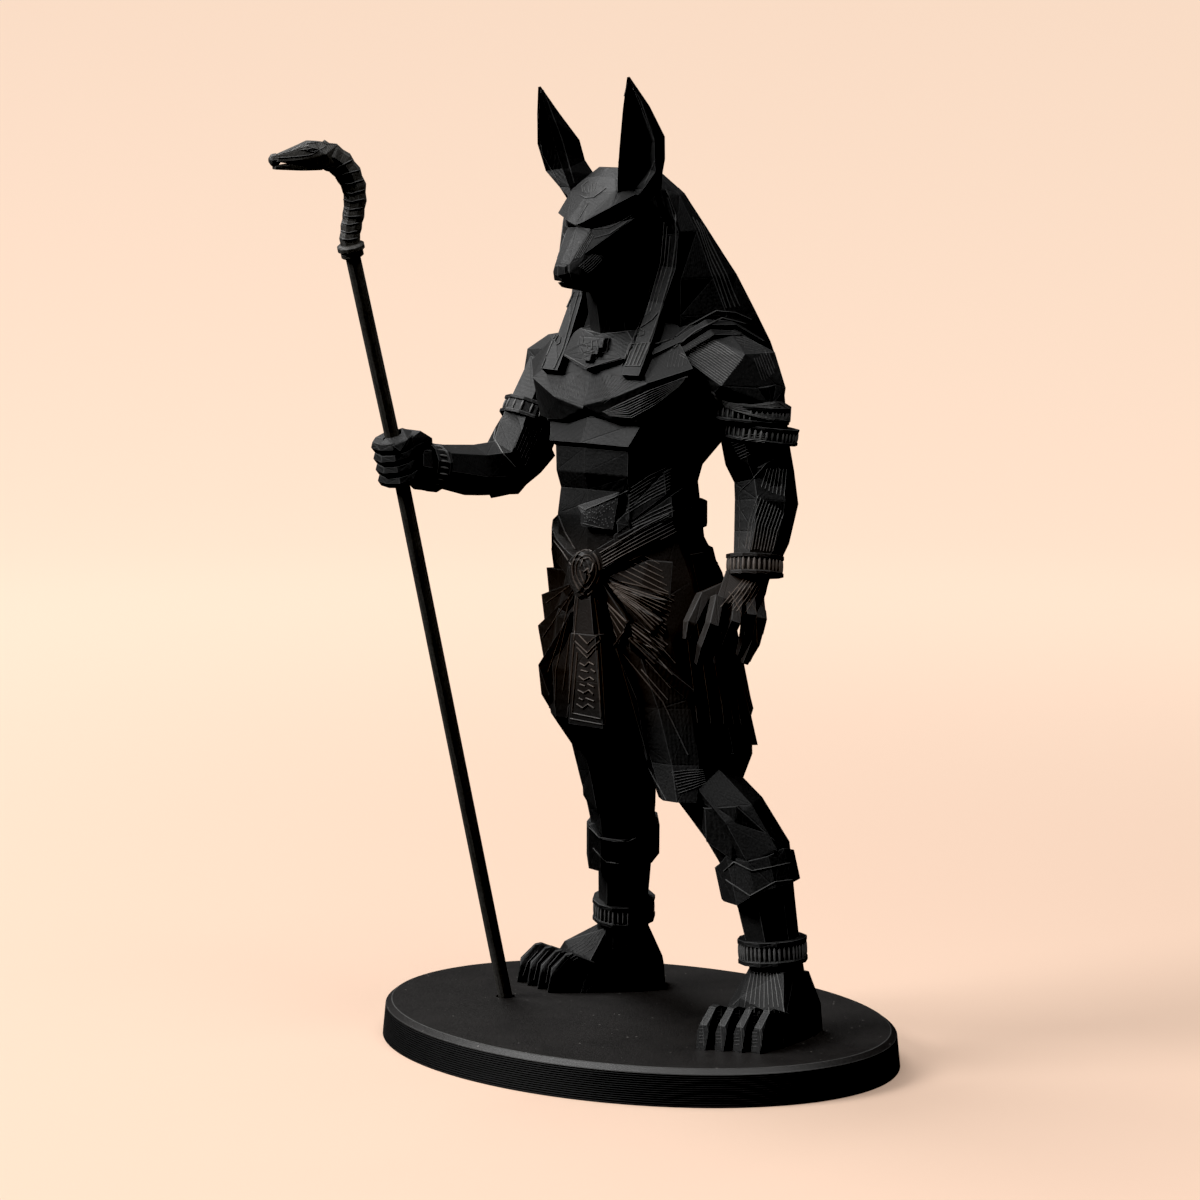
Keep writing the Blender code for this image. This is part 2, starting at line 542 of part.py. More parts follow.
def neck_and_head():
    hx = HEAD_X
    out = [limb("neck", [((hx, -1.0, 107.0), 6.0, 7.4), ((hx, -3.2, 113.2), 4.9, 6.8),
                         ((hx, -4.4, 119.5), 4.9, 6.7), ((hx, -5.0, 123.0), 5.2, 6.4)], 8, (0, -1, 0), 0)]

    def both(pts):
        full = []
        for x, y, z in pts:
            full.append((hx + x, y, z))
            if x > 0.01:
                full.append((hx - x, y, z))
        return full

    # Skull behind the face
    out.append(hull("skull", both([(0.0, -8.4, 137.3), (2.8, -6.6, 137.4), (5.0, -9.2, 134.8),
                                   (0.0, -12.2, 133.4), (4.4, -11.2, 131.6), (5.8, -4.0, 135.8),
                                   (7.2, -4.0, 131.0), (6.8, -4.6, 124.0), (4.4, -5.6, 119.2),
                                   (4.2, -11.8, 128.6), (4.6, -11.4, 124.8), (0.0, -11.4, 119.0),
                                   (3.4, -12.0, 121.0), (0.0, 0.0, 131.0)])))
    # Mask brow over deep eyes, a ridge down its middle; the two halves hang a little differently
    for side, outer in ((1, [(4.7, -12.7, 131.9), (6.9, -9.5, 133.8)]),
                        (-1, [(5.1, -13.7, 130.6), (6.3, -9.8, 132.4)])):
        pts = [(0.0, -15.7, 129.1), (1.5, -15.6, 129.6), (0.0, -12.8, 133.7), (4.2, -11.3, 134.2),
               (2.8, -9.6, 135.9), (0.0, -9.4, 136.2), (3.6, -11.4, 131.2), (0.0, -13.2, 128.8),
               (6.0, -7.8, 132.6), (0.0, -10.0, 130.0)] + outer
        out.append(hull("brow", [(hx + side * p[0], p[1], p[2]) for p in pts]))
    # Cheek bones: the lit lower rim of each eye, tapering back to the temple
    for side in (1, -1):
        cheek = [(2.1, -14.8, 128.4), (4.1, -13.3, 128.2), (6.1, -11.3, 129.1), (7.0, -10.0, 130.2),
                 (7.1, -8.6, 129.6), (5.0, -12.2, 127.5), (3.2, -14.7, 126.2), (1.9, -17.4, 124.2),
                 (1.4, -12.0, 128.0), (3.0, -12.0, 123.0), (5.4, -8.0, 124.0), (3.4, -11.0, 128.0)]
        out.append(hull("cheek", [(hx + side * p[0], p[1], p[2]) for p in cheek]))
    # Muzzle: flat bridge, sloping sides, then the nose pad and the lower jaw
    out.append(hull("muzzle", both([(2.2, -14.8, 128.6), (0.0, -15.3, 128.8), (1.35, -18.8, 123.4),
                                    (0.0, -19.1, 123.5), (1.6, -19.0, 122.2), (2.5, -17.0, 124.0),
                                    (2.5, -17.6, 121.4), (3.7, -13.4, 124.2), (1.7, -18.6, 120.9),
                                    (2.9, -14.0, 120.4), (0.0, -18.9, 120.8), (0.0, -12.0, 127.6),
                                    (3.6, -10.6, 120.8)])))
    out.append(hull("nose", both([(0.0, -19.8, 123.2), (0.95, -19.4, 123.1), (1.1, -19.5, 122.0),
                                  (0.0, -19.9, 121.7), (1.3, -18.2, 123.6), (1.5, -18.6, 121.8),
                                  (0.0, -18.4, 121.0)])))
    out.append(hull("jaw", both([(0.0, -18.9, 120.7), (1.0, -18.7, 120.6), (0.9, -17.9, 119.9),
                                 (0.0, -18.1, 119.8), (2.4, -13.6, 120.8), (2.2, -13.2, 119.2),
                                 (3.8, -8.0, 120.8), (2.6, -8.0, 118.8), (0.0, -13.0, 118.9)])))
    # Ears: rings of (opening inner edge, hollow, opening outer edge, back); the far one stands a little
    # lower
    for side in (1, -1):
        drop = 0.06 if side > 0 else 0.145
        rows = [[(4.4, -10.8, 132.6), (5.4, -9.6, 132.2), (6.8, -9.0, 132.0), (6.2, -2.8, 134.0)],
                [(4.7, -11.5, 134.8), (6.0, -9.2, 134.6), (8.2, -9.6, 134.6), (6.5, -3.0, 136.4)],
                [(5.3, -12.2, 137.8), (7.6, -8.0, 138.0), (10.7, -9.9, 137.4), (7.8, -3.9, 139.2)],
                [(6.2, -12.9, 141.6), (8.6, -8.6, 142.0), (11.4, -11.0, 142.2), (8.3, -4.6, 142.8)],
                [(7.3, -13.5, 147.4), (8.7, -11.2, 147.6), (10.1, -12.6, 147.6), (8.8, -8.9, 147.8)],
                [(8.5, -14.0, 152.4), (8.65, -13.7, 152.4), (8.8, -13.9, 152.4), (8.6, -13.4, 152.5)]]
        rings = [[(hx + side * p[0], p[1], p[2] - drop * (p[2] - 132.0)) for p in row] for row in rows]
        out.append(loft("ear", rings))
    return out


def headdress():
    """Striped hood: skull cap, back fall over the shoulders and two lappets on the chest."""
    hx = HEAD_X
    rows = [  # height, front x and y, side x and y, back corner x and y, back y
        (106.0, 10.5, -2.0, 16.0, 7.0, 13.4, 17.6, 17.6),
        (110.3, 10.0, -2.6, 15.0, 6.0, 12.6, 16.2, 17.0),
        (115.1, 9.6, -2.6, 13.2, 4.4, 11.4, 13.9, 15.0),
        (120.7, 9.6, -2.4, 11.6, 3.0, 9.3, 11.9, 13.2),
        (127.8, 8.8, -2.4, 9.6, 1.5, 6.7, 7.7, 9.2),
        (133.2, 6.8, -2.8, 7.2, 0.3, 5.1, 4.3, 5.4),
        (136.6, 4.4, -5.6, 5.0, -2.6, 3.6, 0.2, 0.8)]
    rings = []
    for z, xf, yf, xs, ys, xb, yb, yk in rows:
        half = [(xf, yf), (xs, ys), (xb, yb)]
        right = [(hx + x, y, z) for x, y in half]
        left = [(hx - x, y, z) for x, y in reversed(half)]
        rings.append([(hx, yf + 1.5, z)] + right + [(hx, yk, z)] + left)
    out = [loft("hood", rings)]
    for side, mid, low, end in ((1, 8.1, 8.3, 8.4), (-1, 7.3, 7.2, 7.4)):
        path = [(hx + side * 6.6, -3.6, 134.0), (hx + side * 8.6, -3.4, 127.5),
                (hx + side * (mid + 0.6), -4.2, 122.5), (hx + side * mid, -6.0, 117.2),
                (hx + side * low, -9.4, 111.2), (hx + side * end, -12.6, 106.5)]
        nrm = [(side * 0.6, -1, 0.3), (side * 0.5, -1, 0), (side * 0.4, -1, 0.1), (side * 0.2, -1, 0.3),
               (side * 0.1, -1, 0.5), (0, -1, 0.2)]
        out.append(strip("lappet", path, nrm, [1.8, 2.5, 2.7, 2.6, 2.8, 3.3], 0.6))
    return out


def mantle():
    """Broad collar over the shoulders with two raised ridges, the necklace and the chest pendant."""
    out = []
    for side in (1, -1):
        wide, lift = (1.0, 0.0) if side > 0 else (0.88, -1.0)
        path = [(9.6, -9.2, 109.6), (12.0, -5.4, 111.6), (13.0, -0.3, 113.8), (13.8, 5.2, 113.4),
                (15.4, 10.5, 110.4)]
        nrm = [(side * 0.5, -1, 1), (side * 0.7, -0.8, 1), (side * 0.9, -0.3, 1), (side * 0.9, 0.3, 1),
               (side * 0.8, 0.8, 1)]
        for out_x, down, thick in ((0.0, 0.0, 0.6), (1.0, -1.3, 0.45)):
            pts = [(TRUNK_X + side * (p[0] * wide + out_x), p[1], p[2] + down + lift) for p in path]
            out.append(strip("ridge", pts, nrm, [0.9, 1.1, 1.2, 1.1, 1.0], thick))
        out.append(hull("mantle", [(TRUNK_X + side * p[0] * wide, p[1], p[2] + lift)
                                   for p in [(3.0, -9.2, 111.0), (8.8, -9.4, 109.8), (11.8, -5.2, 111.4),
                                             (13.0, 0.0, 113.4), (13.6, 6.0, 112.8), (6.0, -5.0, 114.0),
                                             (7.0, 4.0, 116.0), (12.0, 9.0, 110.5), (3.0, 0.0, 108.0),
                                             (12.0, 0.0, 108.0)]]))
        # Necklace plate whose lower edge makes a V on the chest
        out.append(hull("gorget", [(TRUNK_X + side * p[0], p[1], p[2])
                                   for p in [(0.0, -11.0, 112.2), (4.6, -8.8, 113.0), (6.6, -9.6, 111.4),
                                             (6.2, -11.4, 109.1), (0.0, -13.2, 107.2), (0.0, -4.0, 112.8),
                                             (5.2, -3.6, 113.2), (5.6, -5.0, 106.0),
                                             (0.0, -5.0, 105.0)]]))
    # Core that closes the space behind the necklace and the breast plates
    out.append(hull("core", [(TRUNK_X + sx * x, y, z) for sx in (-1, 1)
                             for x, y, z in ((8.6, -8.2, 109.2), (6.0, -8.6, 110.4), (8.6, -4.0, 110.6),
                                             (8.6, -8.4, 105.0), (8.6, -3.0, 105.0))]))
    # Pendant: a stepped plate on the necklace
    for half_w, z0, z1 in ((2.5, 112.0, 110.6), (1.9, 110.9, 109.6), (0.8, 109.9, 108.6)):
        pts = []
        for z in (z0, z1):
            y = -11.0 - (112.2 - z) * 0.44
            for sx in (-1, 1):
                pts += [(TRUNK_X + 0.2 + sx * half_w, y - 0.75, z), (TRUNK_X + 0.2 + sx * half_w, y + 1.6,
                                                                     z)]
        out.append(hull("pendant", pts))
    return out


def build_base():
    rings = []
    for z, grow in ((0.0, BASE_RIM_W + BASE_FLARE), (BASE_T - BASE_RIM_DROP, BASE_RIM_W), (BASE_T, 0.0)):
        ring = []
        for k in range(BASE_SIDES):
            a = 2 * math.pi * k / BASE_SIDES
            ring.append(((BASE_HALF_X + grow) * math.cos(a), (BASE_HALF_Y + grow) * math.sin(a), z))
        rings.append(ring)
    body = loft("base", rings)
    axis = (STAFF_GRIP - STAFF_FOOT).normalized()
    lo = STAFF_FOOT - axis * ((BASE_T - SOCKET_FLOOR) / axis.z)
    hi = STAFF_FOOT + axis * 3.0
    cut = limb("socket", [(lo, SOCKET_R, SOCKET_R), (hi, SOCKET_R, SOCKET_R)], 24, (0, -1, 0))
    boolean(body, cut, "DIFFERENCE")
    return body


def build_staff():
    axis = (STAFF_GRIP - STAFF_FOOT).normalized()
    foot_end = STAFF_FOOT - axis * ((BASE_T - STAFF_FOOT_Z) / axis.z)
    top = STAFF_TOP
    n = 12
    rod = limb("staff", [(foot_end, STAFF_R, STAFF_R), (STAFF_GRIP, STAFF_R, STAFF_R),
                         (top, STAFF_R, STAFF_R)], n, (0, -1, 0))
    chunks = [rod]
    for a, r, h in ((0.35, 1.75, 1.0), (1.4, 2.1, 1.1)):
        c = top + axis * a
        chunks.append(limb("collar", [(c - axis * (h / 2), r - 0.3, r - 0.3),
                                      (c - axis * (h * 0.28), r, r), (c + axis * (h * 0.28), r, r),
                                      (c + axis * (h / 2), r - 0.3, r - 0.3)], n, (0, -1, 0)))
    # Serpent: a hook in the upright plane of the direction it looks, with belly rings up the neck
    look = Vector((-0.5, -0.866, 0.0))
    up = Vector((0, 0, 1))
    side = up.cross(look)
    hook = [(0.3, 0.6, 1.5), (0.45, 2.6, 1.65), (0.2, 4.3, 1.7), (-0.15, 6.0, 1.75), (-0.45, 8.2, 1.82),
            (-0.3, 10.2, 1.95), (0.5, 12.0, 2.05), (1.7, 13.6, 2.1), (3.2, 14.6, 2.2), (4.8, 15.0, 2.15)]
    dense = []
    for (fa, ra, wa), (fb, rb, wb) in zip(hook, hook[1:]):
        dense.append((top + look * fa + up * ra, wa, wa * 0.92))
        dense.append((top + look * ((fa + fb) / 2) + up * ((ra + rb) / 2), (wa + wb) * 0.46,
                      (wa + wb) * 0.44))
    dense.append((top + look * hook[-1][0] + up * hook[-1][1], 2.3, 2.2))
    chunks.append(limb("neck", dense, 8, side))
    skull = []
    for fwd, rise, half in ((2.6, 16.5, 1.2), (2.4, 12.9, 1.3), (5.0, 17.0, 1.3), (6.6, 17.1, 1.2),
                            (7.4, 16.4, 1.9), (4.8, 15.2, 2.5), (4.8, 13.2, 2.0), (9.0, 16.0, 1.2),
                            (8.4, 14.4, 2.0), (8.0, 13.5, 1.6), (11.6, 15.1, 0.9), (11.8, 14.1, 1.0)):
        for sx in (-1, 1):
            skull.append(top + look * fwd + up * rise + side * (sx * half))
    chunks.append(hull("serpent_skull", skull))
    jaw = []
    for fwd, rise, half in ((5.0, 13.9, 1.9), (5.0, 12.8, 1.6), (8.0, 12.75, 1.5), (12.0, 12.95, 0.8),
                            (12.0, 13.5, 0.95), (8.2, 13.9, 1.6)):
        for sx in (-1, 1):
            jaw.append(top + look * fwd + up * rise + side * (sx * half))
    chunks.append(hull("serpent_jaw", jaw))
    ball = top + look * 12.0 + up * 14.35
    chunks.append(limb("snout", [(ball - look * 0.9, 0.6, 0.5), (ball - look * 0.3, 1.0, 0.85),
                                 (ball + look * 0.4, 0.9, 0.75), (ball + look * 0.75, 0.4, 0.4)], 8,
                       side))
    for sx in (-1, 1):
        brow = [(5.0, 16.5, 1.4), (6.6, 17.1, 1.5), (9.4, 15.9, 1.3), (8.0, 15.8, 2.0), (6.0, 15.9, 2.3),
                (6.6, 15.4, 1.0)]
        chunks.append(hull("serpent_brow", [top + look * f + up * r + side * (sx * h) for f, r, h in brow]))
    return merge_all("staff", chunks, 0.1)


def build_figure():
    chunks = [trunk()]
    chunks += chest()
    chunks += [shoulder(1), shoulder(-1)]
    chunks += skirts()
    chunks += pleats()
    chunks += belt()
    chunks += legs()
    chunks += foot("foot_left", (27.0, 8.4), (27.0, -13.5), (24.8, 3.2), 5.2, 1.1)
    chunks += foot("foot_right", (-7.7, 16.6), (-25.6, 1.1), (-12.0, 12.2), 5.0, 1.6)
    chunks += neck_and_head()
    chunks += headdress()
    chunks += mantle()
    chunks += arms()
    chunks += open_hand()
    chunks += fist()
    body = merge_all("figure", chunks)
    lower = (STAFF_GRIP - STAFF_FOOT).normalized()
    upper = (STAFF_TOP - STAFF_GRIP).normalized()
    bore = limb("bore", [(STAFF_GRIP - lower * 14, GRIP_BORE_R, GRIP_BORE_R),
                         (STAFF_GRIP, GRIP_BORE_R, GRIP_BORE_R), (STAFF_GRIP + upper * 14, GRIP_BORE_R,
                                                                  GRIP_BORE_R)], 24, (0, -1, 0))
    boolean(body, bore, "DIFFERENCE", "MANIFOLD")
    sole = hull("sole_cut", [(x, y, z) for x in (-60, 60) for y in (-60, 60) for z in (-5, BASE_T)])
    boolean(body, sole, "DIFFERENCE", "MANIFOLD")
    return body


def paint(ob, name, colour, rough, metal):
    mat = bpy.data.materials.new(name)
    mat.use_nodes = True
    node = mat.node_tree.nodes["Principled BSDF"]
    node.inputs["Base Color"].default_value = (*colour, 1.0)
    node.inputs["Roughness"].default_value = rough
    node.inputs["Metallic"].default_value = metal
    ob.data.materials.clear()
    ob.data.materials.append(mat)


def main():
    clear_scene()
    base = build_base()
    staff = build_staff()
    figure = build_figure()
    paint(base, "base_black", (0.012, 0.012, 0.012), 0.55, 0.0)
    paint(figure, "figure_black", (0.014, 0.014, 0.014), 0.5, 0.0)
    paint(staff, "staff_black", (0.014, 0.014, 0.014), 0.5, 0.0)
    for ob in (base, figure, staff):
        print(ob.name, "triangles", sum(len(p.vertices) - 2 for p in ob.data.polygons))


main()
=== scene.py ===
# %% [markdown]
# # A printed jackal-headed guardian, finished piece by piece
# The real object is a small statuette, printed in matte black plastic in three parts: an oval plinth, the
# faceted figure and a thin staff with a cobra head. The CAD gives all three forms. This lesson adds what
# a hand can feel and the eye can see on the print: thin layer lines, softened facet edges, ribs, raised
# strokes, scales and a little dust.

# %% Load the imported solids
import math
import random

import bmesh
import bpy
from mathutils import Matrix, Vector
from mathutils.bvhtree import BVHTree


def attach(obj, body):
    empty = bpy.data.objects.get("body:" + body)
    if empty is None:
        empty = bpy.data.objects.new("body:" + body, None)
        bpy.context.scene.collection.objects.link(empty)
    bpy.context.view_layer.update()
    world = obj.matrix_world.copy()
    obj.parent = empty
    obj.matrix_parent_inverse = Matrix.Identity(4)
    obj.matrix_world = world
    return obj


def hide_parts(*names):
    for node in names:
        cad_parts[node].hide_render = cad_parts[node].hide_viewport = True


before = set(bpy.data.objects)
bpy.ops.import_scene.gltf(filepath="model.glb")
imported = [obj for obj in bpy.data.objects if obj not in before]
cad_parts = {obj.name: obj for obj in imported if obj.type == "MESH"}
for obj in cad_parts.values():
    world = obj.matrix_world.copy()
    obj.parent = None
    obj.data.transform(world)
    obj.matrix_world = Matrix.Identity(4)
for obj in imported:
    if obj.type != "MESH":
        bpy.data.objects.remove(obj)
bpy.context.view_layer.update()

MM = 0.001

# %% [markdown]
# ## The camera
# The camera comes first, because later cells place strokes by their position in the view. A long lens
# flattens the figure a little, so the view is matched with a 135 mm lens on a 36 mm wide sensor, standing
# about 0.7 m away, 38.8 degrees round from the front and 8.1 degrees above the level.

# %% Set the camera
CAMERA_AT = Vector((430.81, -535.42, 168.84)) * MM
VIEW_AZIMUTH = math.radians(39.31)
VIEW_DOWN = math.radians(8.135)
LENS_MM = 135.0
SENSOR_MM = 36.0
VIEW_SIDE_PX = 1200
FOCAL_PX = LENS_MM / SENSOR_MM * VIEW_SIDE_PX

view_right = Vector((math.cos(VIEW_AZIMUTH), math.sin(VIEW_AZIMUTH), 0.0))
view_ahead = Vector((-math.sin(VIEW_AZIMUTH) * math.cos(VIEW_DOWN),
                     math.cos(VIEW_AZIMUTH) * math.cos(VIEW_DOWN), -math.sin(VIEW_DOWN)))
view_up = view_right.cross(view_ahead)
camera_data = bpy.data.cameras.new("view")
camera_data.lens = LENS_MM
camera_data.sensor_width = SENSOR_MM
camera_data.clip_start = 0.05
camera = bpy.data.objects.new("view", camera_data)
turned = Matrix((view_right, view_up, -view_ahead)).transposed().to_4x4()
camera.matrix_world = Matrix.Translation(CAMERA_AT) @ turned
bpy.context.scene.collection.objects.link(camera)
bpy.context.scene.camera = camera
print("camera looks along", [round(v, 4) for v in view_ahead])

# %% [markdown]
# ## Aiming through the view
# Many small strokes have to follow the facets under them. A ray is sent from the camera through a spot of
# the view, and where it meets the solid is where the stroke lies. The spot's own surface direction comes
# back with it, so a stroke can stand up from the facet, whichever way the facet turns.

# %% Make a helper that finds the spot under a view position
WELD = 0.0005 * MM


def welded(node):
    """A CAD node's mesh with its loose triangles joined, as an editable mesh."""
    bm = bmesh.new()
    bm.from_mesh(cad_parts[node].data)
    bmesh.ops.remove_doubles(bm, verts=bm.verts, dist=WELD)
    return bm


surface = {}
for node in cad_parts:
    bm = welded(node)
    surface[node] = BVHTree.FromBMesh(bm)
    bm.free()


def view_ray(u, v):
    """Direction from the camera through a spot of the square view, counted from its top left corner."""
    x = (u - VIEW_SIDE_PX / 2) / FOCAL_PX
    y = (VIEW_SIDE_PX / 2 - v) / FOCAL_PX
    return (view_ahead + view_right * x + view_up * y).normalized()


def spot(u, v, node="figure"):
    """The point of a node that shows at a spot of the view, and the direction that its facet faces."""
    place, facing, _, _ = surface[node].ray_cast(CAMERA_AT, view_ray(u, v))
    return place, facing


nose, facing = spot(562, 262)
print("the bridge of the muzzle lies at", [round(c / MM, 1) for c in nose], "mm")

# %% [markdown]
# ## Matte black plastic
# The filament is black with a faint satin gloss. On the real print three things break up the black: the
# thin layer lines, paler worn edges where facets meet, and a little dust; here the pale edge colour also
# stands in for the thin highlight each edge catches, as a painted highlight. From the belly down to the
# kilt's hem a brownish tint is painted in as the warm light bounced up from the peach floor, a painted
# bounce light. Each is a shader group, so that every piece can use it with its own strength.

# %% Start a helper for shader groups


def new_group(name, inputs, outputs):
    """An empty shader group with named value sockets; vectors are marked by a tuple as their default."""
    group = bpy.data.node_groups.new(name, "ShaderNodeTree")
    for label, default in inputs.items():
        kind = "NodeSocketVector" if isinstance(default, tuple) else "NodeSocketFloat"
        group.interface.new_socket(label, in_out="INPUT", socket_type=kind).default_value = default
    for label in outputs:
        group.interface.new_socket(label, in_out="OUTPUT", socket_type="NodeSocketFloat")
    return group, group.nodes.new("NodeGroupInput"), group.nodes.new("NodeGroupOutput")


def math_node(tree, operation, first, second=None, third=None):
    """A Math node whose inputs are sockets or plain numbers; returns its output."""
    node = tree.nodes.new("ShaderNodeMath")
    node.operation = operation
    for socket, value in zip(node.inputs, (first, second, third)):
        if isinstance(value, bpy.types.NodeSocket):
            tree.links.new(value, socket)
        elif value is not None:
            socket.default_value = value
    return node.outputs[0]


def noise_node(tree, place, scale, detail=2.0, roughness=0.5):
    node = tree.nodes.new("ShaderNodeTexNoise")
    node.inputs["Scale"].default_value = scale
    node.inputs["Detail"].default_value = detail
    node.inputs["Roughness"].default_value = roughness
    if isinstance(place, bpy.types.NodeSocket):
        tree.links.new(place, node.inputs["Vector"])
    return node.outputs["Fac"]


def object_place(tree):
    return tree.nodes.new("ShaderNodeTexCoord").outputs["Object"]


# %% Build the layer line group
LAYER_TALL = 0.34 * MM
DRIFT_SCALE = 220.0
GRAIN_SCALE = 2600.0


def build_layer_lines():
    """Waves of one layer's spacing along an axis, a little uneven, as a height from 0 to 1."""
    tree, given, made = new_group("layer_lines",
                                  {"Axis": (0.0, 0.0, 1.0), "Spacing": LAYER_TALL, "Wander": 0.25},
                                  ["Height", "Grain"])
    place = object_place(tree)
    along = tree.nodes.new("ShaderNodeVectorMath")
    along.operation = "DOT_PRODUCT"
    tree.links.new(place, along.inputs[0])
    tree.links.new(given.outputs["Axis"], along.inputs[1])
    layers = math_node(tree, "DIVIDE", along.outputs["Value"], given.outputs["Spacing"])
    drift = math_node(tree, "MULTIPLY", noise_node(tree, place, DRIFT_SCALE), given.outputs["Wander"])
    turns = math_node(tree, "MULTIPLY", math_node(tree, "ADD", layers, drift), 2 * math.pi)
    wave = math_node(tree, "MULTIPLY_ADD", math_node(tree, "SINE", turns), 0.5, 0.5)
    tree.links.new(wave, made.inputs["Height"])
    tree.links.new(noise_node(tree, place, GRAIN_SCALE, 3.0, 0.6), made.inputs["Grain"])
    return tree


layer_lines = build_layer_lines()
print("group", layer_lines.name, "gives",
      [s.name for s in layer_lines.interface.items_tree if s.in_out == "OUTPUT"])


# %% Build the worn and highlit edge group
WEAR_AND_GLINT_SCALE = 380.0


def build_worn_and_highlit_edges():
    """Where the mesh marks a softened edge, broken up by noise, as a mask: paler rubbed edges that are also
    a painted highlight.
    """
    tree, given, made = new_group("worn_and_highlit_edges", {"Strength": 1.0, "Patchiness": 0.6}, ["Mask"])
    mark = tree.nodes.new("ShaderNodeAttribute")
    mark.attribute_name = "edge"
    patches = noise_node(tree, object_place(tree), WEAR_AND_GLINT_SCALE, 3.0, 0.6)
    gaps = math_node(tree, "MULTIPLY", math_node(tree, "SUBTRACT", 1.0, patches),
                     given.outputs["Patchiness"])
    kept = math_node(tree, "SUBTRACT", mark.outputs["Fac"], gaps)
    tree.links.new(math_node(tree, "MULTIPLY", math_node(tree, "MAXIMUM", kept, 0.0),
                             given.outputs["Strength"]), made.inputs["Mask"])
    return tree


worn_and_highlit_edges = build_worn_and_highlit_edges()


# %% Build the painted bounce light group
BOUNCE_PATCH_SCALE = 70.0
BOUNCE_PATCH_SPREAD = (1.1, 0.15)


def build_painted_bounce_light():
    """Soft patches within a band of height, as a mask: where warm light bounced from the floor is painted
    in as a brownish tint.
    """
    tree, given, made = new_group("painted_bounce_light",
                                  {"Low": 52 * MM, "High": 84 * MM, "Fade": 8 * MM, "Amount": 0.8},
                                  ["Mask"])
    place = object_place(tree)
    level = tree.nodes.new("ShaderNodeSeparateXYZ")
    tree.links.new(place, level.inputs[0])
    inside = []
    for edge, first, second in (("Low", level.outputs["Z"], None), ("High", None, level.outputs["Z"])):
        gap = math_node(tree, "SUBTRACT", first or given.outputs[edge], second or given.outputs[edge])
        ramp = math_node(tree, "DIVIDE", gap, given.outputs["Fade"])
        ramp.node.use_clamp = True
        inside.append(ramp)
    patches = math_node(tree, "MULTIPLY_ADD", noise_node(tree, place, BOUNCE_PATCH_SCALE), *BOUNCE_PATCH_SPREAD)
    patches.node.use_clamp = True
    mask = math_node(tree, "MULTIPLY", math_node(tree, "MULTIPLY", inside[0], inside[1]), patches)
    tree.links.new(math_node(tree, "MULTIPLY", mask, given.outputs["Amount"]), made.inputs["Mask"])
    return tree


painted_bounce_light = build_painted_bounce_light()


# %% Build the dust group
SPECK_SIZE = 0.16
SPECK_PATCHES = 700.0
SPECK_RARITY = 0.62


def build_dust():
    """Sparse pale specks on what faces up, as a mask."""
    tree, given, made = new_group("dust", {"Amount": 0.5, "Fineness": 900.0}, ["Mask"])
    place = object_place(tree)
    cells = tree.nodes.new("ShaderNodeTexVoronoi")
    tree.links.new(place, cells.inputs["Vector"])
    tree.links.new(given.outputs["Fineness"], cells.inputs["Scale"])
    speck = math_node(tree, "LESS_THAN", cells.outputs["Distance"], SPECK_SIZE)
    chance = math_node(tree, "GREATER_THAN", noise_node(tree, place, SPECK_PATCHES, 2.0, 0.7), SPECK_RARITY)
    facing = tree.nodes.new("ShaderNodeSeparateXYZ")
    tree.links.new(tree.nodes.new("ShaderNodeNewGeometry").outputs["Normal"], facing.inputs[0])
    lying = math_node(tree, "MAXIMUM", facing.outputs["Z"], 0.0)
    dusty = math_node(tree, "MULTIPLY", math_node(tree, "MULTIPLY", speck, chance), lying)
    tree.links.new(math_node(tree, "MULTIPLY", dusty, given.outputs["Amount"]), made.inputs["Mask"])
    return tree


dust = build_dust()


# %% Put the groups together in one plastic recipe
def place_group(tree, group, **values):
    node = tree.nodes.new("ShaderNodeGroup")
    node.node_tree = group
    for label, value in values.items():
        node.inputs[label].default_value = value
    return node


def mix_colour(tree, factor, first, second):
    node = tree.nodes.new("ShaderNodeMix")
    node.data_type = "RGBA"
    tree.links.new(factor, node.inputs["Factor"])
    for socket, value in ((node.inputs["A"], first), (node.inputs["B"], second)):
        if isinstance(value, bpy.types.NodeSocket):
            tree.links.new(value, socket)
        else:
            socket.default_value = (*value, 1.0)
    return node.outputs["Result"]


DUST_COLOUR = (0.16, 0.15, 0.14)
TONE_SCALE = 160.0
TONE_RANGE = (0.5, 1.6)
GRAIN_SHARE = 1.6
BOUNCE_TINT = (2.1, 1.35, 0.9)
MATTE_SWING = 0.22
BUMP_DEEP = 0.05 * MM


